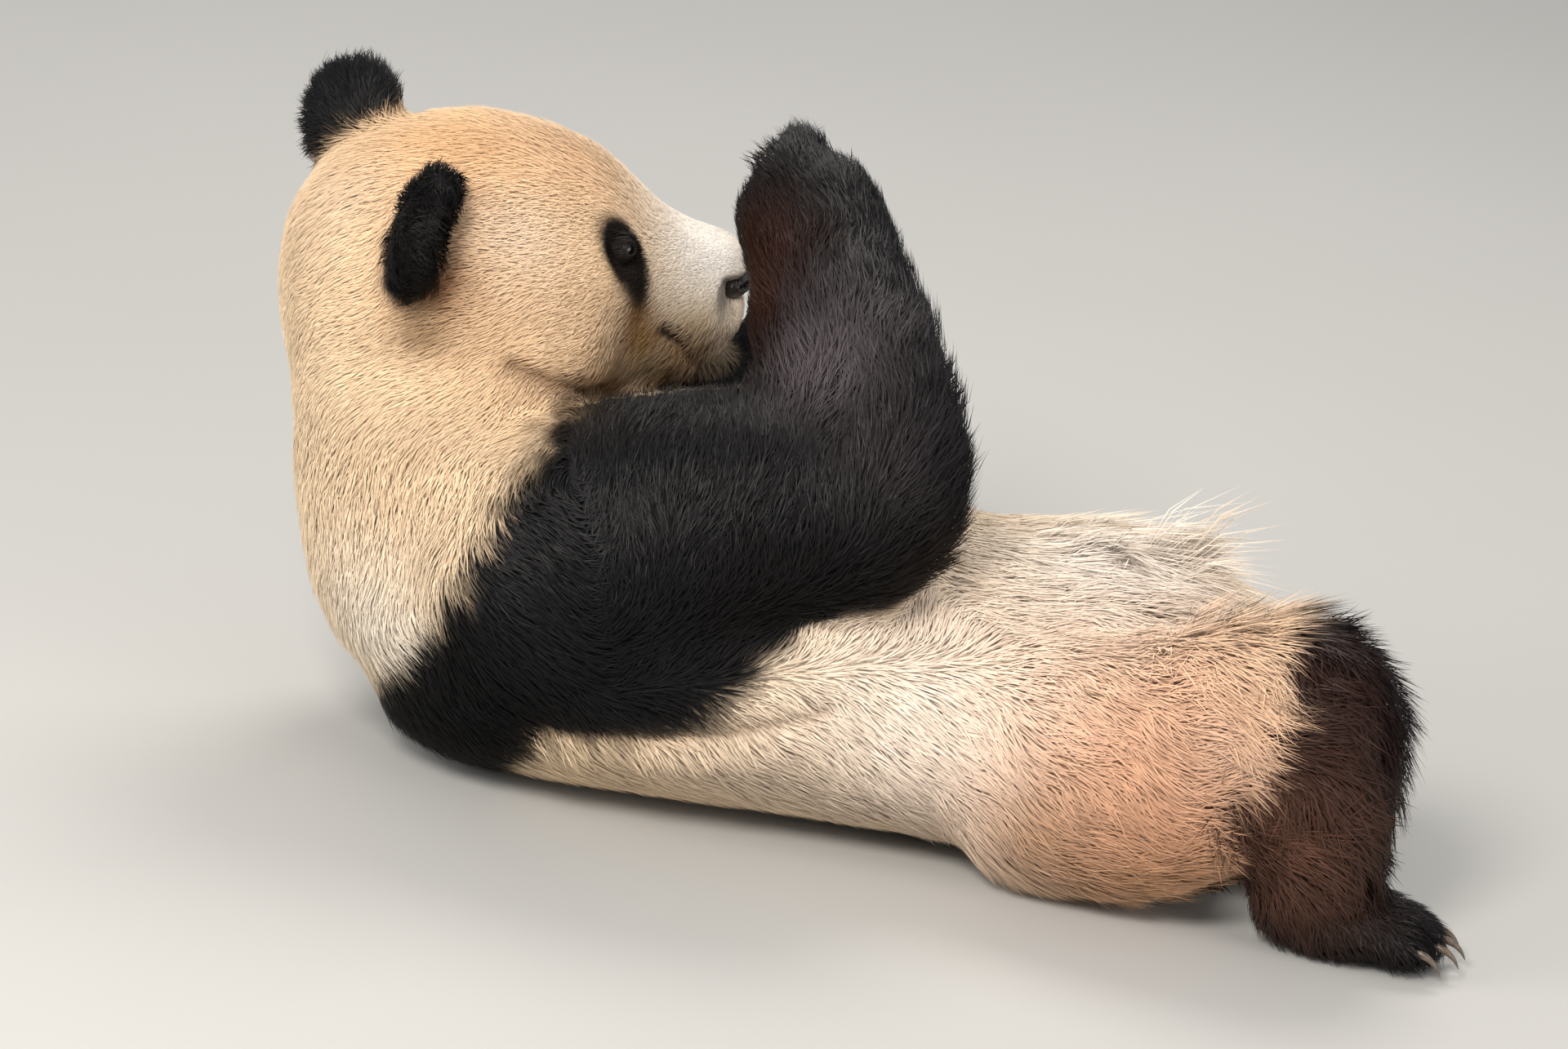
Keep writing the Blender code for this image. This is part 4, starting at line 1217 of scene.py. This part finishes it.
def sampled(spacing, area, count):
    """Triangles drawn in proportion to how many roots their area should hold."""
    chance = area / spacing**2
    return rng.choice(len(area), size=count, p=chance / chance.sum())


def thinned(places, spacing):
    """One root for each cell of a grid as wide as the spacing there, so that no two crowd."""
    kept = []
    classes = np.round(spacing / CLASS).astype(int)
    for step in np.unique(classes):
        members = np.flatnonzero(classes == step)
        cells = np.floor(places[members] / (step * CLASS)).astype(np.int64)
        _, first = np.unique(cells, axis=0, return_index=True)
        kept.append(members[first])
    return np.sort(np.concatenate(kept))


triangles, loops = corners_of(skin.data)
uvs = np.empty(len(skin.data.loops) * 2, np.float32)
skin.data.uv_layers["OFBake"].uv.foreach_get("vector", uvs)
uvs = uvs.reshape(-1, 2)

COLUMNS = (DEPTH, LENGTH, WIDTH, SPACING, STAND, UNTIDY)
columns = {column: spread(table_column(owner, column), edges, BLEND_ROUNDS) for column in COLUMNS}
eye_gap = np.min([distance_to(points, centre) for centre, *_ in EYE_FRAMES.values()], axis=0)
off_the_face = smooth_step(distance_to(points, NOSE), *FACE)
off_the_face = off_the_face * eased(0.5, smooth_step(eye_gap, *EYE_RING))
for column, share in FACE_SHARES.items():
    columns[column] *= eased(share, off_the_face)
for _, place, radius, more_length, more_stand in SHAGGY:
    near = bell(distance_to(points, np.array(place)), radius)
    columns[LENGTH] += more_length * near
    columns[STAND] += more_stand * near
    columns[UNTIDY] += WILDNESS * more_stand * near

a, b, c = (points[triangles[:, i]] for i in range(3))
area = np.linalg.norm(np.cross(b - a, c - a), axis=1) / 2
triangle_spacing = columns[SPACING][triangles].mean(axis=1) * MM
wanted = int((area / triangle_spacing**2).sum() * OVERSOWN)
picked = sampled(triangle_spacing, area, wanted)
shares = rng.dirichlet((1, 1, 1), wanted)
roots = mixed(points, triangles[picked], shares)
keep = thinned(roots, triangle_spacing[picked])
bare_there = mixed(bare, triangles[picked], shares)
keep = keep[bare_there[keep] < BARE]
picked, shares, roots = picked[keep], shares[keep], roots[keep]
root_corners = triangles[picked]
root_owner = owner[root_corners[:, 0]]
print("skin:", round(area.sum(), 2), "square metres, tufts:", len(roots))

# %% [markdown]
# ## The shape of a tuft
# A tuft is a thin closed spindle of five points: its root, a ring of three where it is widest, and its tip.
# It rises out of the skin, then lies over in the flow of the fur, and the tips of neighbours lean together
# into locks, as damp hair does. A root's place gives it everything: direction, length, width, lift and colour
# are read from the skin there. Chance adds the rest, from a generator with a fixed seed, so the coat comes
# out the same every time. All tufts of a piece are made at once from arrays, because a Python loop over them
# would take minutes.

# %% Growing
WIDEST = 0.38  # how far along a tuft it is widest
THICKNESS = 0.30  # half its thickness there, as a share of its width
LOCK = 15 * MM  # the size of the locks that tips gather into
FEW_LOCKS = 2.5  # a power: the higher, the fewer locks stand off the coat
EARLY_RISE = 2.4  # a power: the higher, the nearer to its root a tuft gets up to its height
LENGTHS, WIDTHS = (0.72, 1.22), (0.75, 1.25)  # shortest and longest, narrowest and widest, of the table's
CURL = 0.09  # of its length, how far a tip swings to a side
SWAY_SIZE, SWAY = 0.045, 0.9  # metres across a wave of the coat, and how much it turns untidy hair
STRAY = 0.28  # how much each tuft turns on its own
LOWEST, HIGHER, FEW_LOW = 0.35, 0.70, 0.7  # a tuft's height over the skin, as shares of the coat's depth
GATHERED = (0.05, 0.85)  # the least and the most that a tip moves towards the middle of its lock
UNDER_SKIN = 1.5 * MM  # how deep the root is set
FLOOR_GAP = 0.3 * MM  # what lies on the floor is pressed flat on this height
GLANCE = 0.15  # how much each tuft's shading turns by chance, so that it catches the light in its own way
ROUND = 0.35  # how much the shading turns from the middle of a tuft to its sides and its tip


def along_the_coat(roots, root_corners, shares):
    """Unit directions at each root: the lie of the hair, the skin's normal, and across both."""
    normal = unit(mixed(normals, root_corners, shares))
    untidy = mixed(columns[UNTIDY], root_corners, shares)
    sway = np.stack([noise_at(roots, SWAY_SIZE, seed) for seed in (5, 6, 7)], axis=1)
    lie = unit(mixed(flow, root_corners, shares)) + sway * untidy[:, None] * SWAY
    lie += rng.normal(0, STRAY, lie.shape) * untidy[:, None]
    lie = unit(laid_flat(lie, normal))
    return lie, normal, np.cross(lie, normal)


def locks(roots, size):
    """For each root, the number of its lock and the middle of the roots that share it."""
    shift = rng.normal(0, 0.2 * size, roots.shape)
    cells = np.floor((roots + shift) / size).astype(np.int64)
    _, lock = np.unique(cells, axis=0, return_inverse=True)
    lock = lock.reshape(-1)
    count = np.bincount(lock)
    return lock, np.stack([np.bincount(lock, weights=axis) / count for axis in roots.T], axis=1)[lock]


def blades(roots, root_corners, shares):
    """The five points of every tuft and the normals to shade them with: root, ring of three, tip."""
    count = len(roots)
    lie, normal, across = along_the_coat(roots, root_corners, shares)
    length, coat, wide, stand = (
        mixed(columns[column], root_corners, shares) * MM for column in (LENGTH, DEPTH, WIDTH, STAND)
    )
    untidy = mixed(columns[UNTIDY], root_corners, shares)
    lock, lock_middle = locks(roots, LOCK)
    lifted = rng.random(lock.max() + 1)[lock] ** FEW_LOCKS * rng.uniform(0.5, 1.0, count)
    length *= rng.uniform(*LENGTHS, count)
    wide *= rng.uniform(*WIDTHS, count)
    height = coat * (LOWEST + HIGHER * rng.random(count) ** FEW_LOW) + stand * lifted
    clumping = np.clip(1.5 * untidy - 0.2, *GATHERED)  # untidy hair clumps more
    gather = (lock_middle - roots) * clumping[:, None]
    curl = rng.normal(0, CURL, count) * length

    def place(t):
        rise = 1 - (1 - t) ** EARLY_RISE
        return (
            roots
            + lie * (length * t)[:, None]
            + normal * (height * rise)[:, None]
            + across * (curl * t * t)[:, None]
            + gather * t * t
        )

    middle, half = place(WIDEST), (wide / 2)[:, None]
    ring = [middle - across * half, middle + normal * half * THICKNESS * 2, middle + across * half]
    points = np.stack([roots - normal * UNDER_SKIN, *ring, place(1.0)], axis=1)
    points[..., 2] = np.maximum(points[..., 2], FLOOR_GAP)
    catch = normal + rng.normal(0, GLANCE, normal.shape)
    facing = [catch - across * ROUND, catch, catch + across * ROUND]
    return points, unit(np.stack([catch, *facing, catch + lie * ROUND], axis=1))


print("tufts are", THICKNESS, "as thick as wide and widest at", WIDEST, "of their length")

# %% [markdown]
# ## A piece of the coat
# The tufts' points become one mesh with six triangles to a tuft. Each tuft takes its colour from the skin at
# its root and is a little darker there than at its tip. It also takes a tiny patch of the skin's UV map, at
# its root's place. Its shading normals stay near the skin's, because tiny blades with normals of their own
# would glitter.

# %% Meshes of tufts
# of the five points: 0 is the root, 1 to 3 are the ring and 4 is the tip
BLADE_FACES = np.array(((2, 1, 0), (3, 2, 0), (1, 3, 0), (1, 2, 4), (2, 3, 4), (3, 1, 4)))
ALONG = np.array((0.0, WIDEST, WIDEST, WIDEST, 1.0))
ACROSS = np.array((0.0, -0.5, 0.0, 0.5, 0.0))
PATCH = 0.003  # of the map, the size of one tuft's place on it
TONES = (0.92, 1.08)  # the darkest and the palest tuft, of the colour at its root
ROOT_SHADE, TIP_LIGHT = 0.86, 0.18  # of the tuft's colour at its root, and how much is added up to its tip


def coat_piece(name, members, material):
    """One object with the tufts of the given roots."""
    points, shading = blades(roots[members], root_corners[members], shares[members])
    count = len(members)
    faces = (np.arange(count)[:, None, None] * len(ALONG) + BLADE_FACES).reshape(-1, 3)
    mesh = bpy.data.meshes.new(name)
    mesh.vertices.add(count * len(ALONG))
    mesh.vertices.foreach_set("co", points.astype(np.float32).ravel())
    mesh.loops.add(faces.size)
    mesh.loops.foreach_set("vertex_index", faces.astype(np.int32).ravel())
    mesh.polygons.add(len(faces))
    mesh.polygons.foreach_set("loop_start", np.arange(0, faces.size, 3, dtype=np.int32))
    mesh.update(calc_edges=True)
    colour = mixed(coat_colour, root_corners[members], shares[members])
    colour = colour * rng.uniform(*TONES, (count, 1))
    shade = ROOT_SHADE + TIP_LIGHT * ALONG
    add_attribute(mesh, "coat", (colour[:, None, :] * shade[None, :, None]).reshape(-1, 3))
    at = np.einsum("nk,nkd->nd", shares[members], uvs[loops[picked[members]]])
    patch = np.stack([ACROSS, ALONG - 0.5], axis=1) * PATCH
    uv = (at[:, None, :] + patch[None]).reshape(-1, 2)
    mesh.uv_layers.new(name="OFBake").uv.foreach_set("vector", uv[faces.ravel()].astype(np.float32).ravel())
    mesh.materials.append(material)
    mesh.shade_smooth()
    mesh.normals_split_custom_set_from_vertices(shading.reshape(-1, 3).astype(np.float32))
    piece = mesh_object(name, mesh)
    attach(piece, "root")
    return piece


print("triangles to a tuft:", len(BLADE_FACES))

# %% [markdown]
# ## Two kinds of hair
# Pale and black hair differ in more than colour. Black guard hair is smooth and shows a cool sheen where
# light grazes it. Pale hair is duller, and lets a little light through from tuft to tuft, which subsurface
# scattering gives. So each region's coat is one set of pale pieces and one of black ones.

# %% The coat
PIECE_TUFTS = 33000  # 6 triangles each, so a piece stays under 200,000


def hair_material(name, **finish):
    # guard hair: a soft sheen along smooth shafts, with darker flecks between them
    made, tree, shader = new_material(name, **finish)
    add_coat_colour(tree, shader, 1.0)
    return made


PALE_HAIR = hair_material(
    "pale guard hair", Roughness=0.70, Specular_IOR_Level=0.25,
    Subsurface_Weight=0.12, Subsurface_Radius=(1.0, 0.8, 0.6), Subsurface_Scale=4 * MM,
)  # fmt: skip
DARK_HAIR = hair_material("black guard hair", Roughness=0.46, Specular_IOR_Level=0.15)
COATS = {
    "coat_head": ("head",),
    "coat_ears": ("ear",),
    "coat_neck": ("neck",),
    "coat_chest": ("chest",),
    "coat_belly": ("belly", "tail"),
    "coat_arms": ("upper_arm", "forearm", "forepaw"),
    "coat_thighs": ("thigh",),
    "coat_hind_legs": ("shank", "hindpaw"),
}
root_region = REGION_NAMES[root_owner]
is_black = mixed(blackness, root_corners, shares) > 0.5
total = 0
for name, regions in COATS.items():
    for tone, here, hair in (("pale", ~is_black, PALE_HAIR), ("black", is_black, DARK_HAIR)):
        members = np.flatnonzero(np.isin(root_region, regions) & here)
        if not len(members):
            continue
        parts = math.ceil(len(members) / PIECE_TUFTS)
        for index, share in enumerate(np.array_split(members, parts)):
            piece = coat_piece(f"{name}_{tone}_{index + 1}", share, hair)
        total += len(members) * len(BLADE_FACES)
        print(name, tone, len(members), "tufts in", parts, "pieces")
print("triangles in the coat:", total)

# %% [markdown]
# ## The box
# The coat must bring the animal back to the size of the solids and no further. The solids' box, measured at
# the start, is printed.

# %% Sizes and the end
print("CAD box:", CAD_BOX)
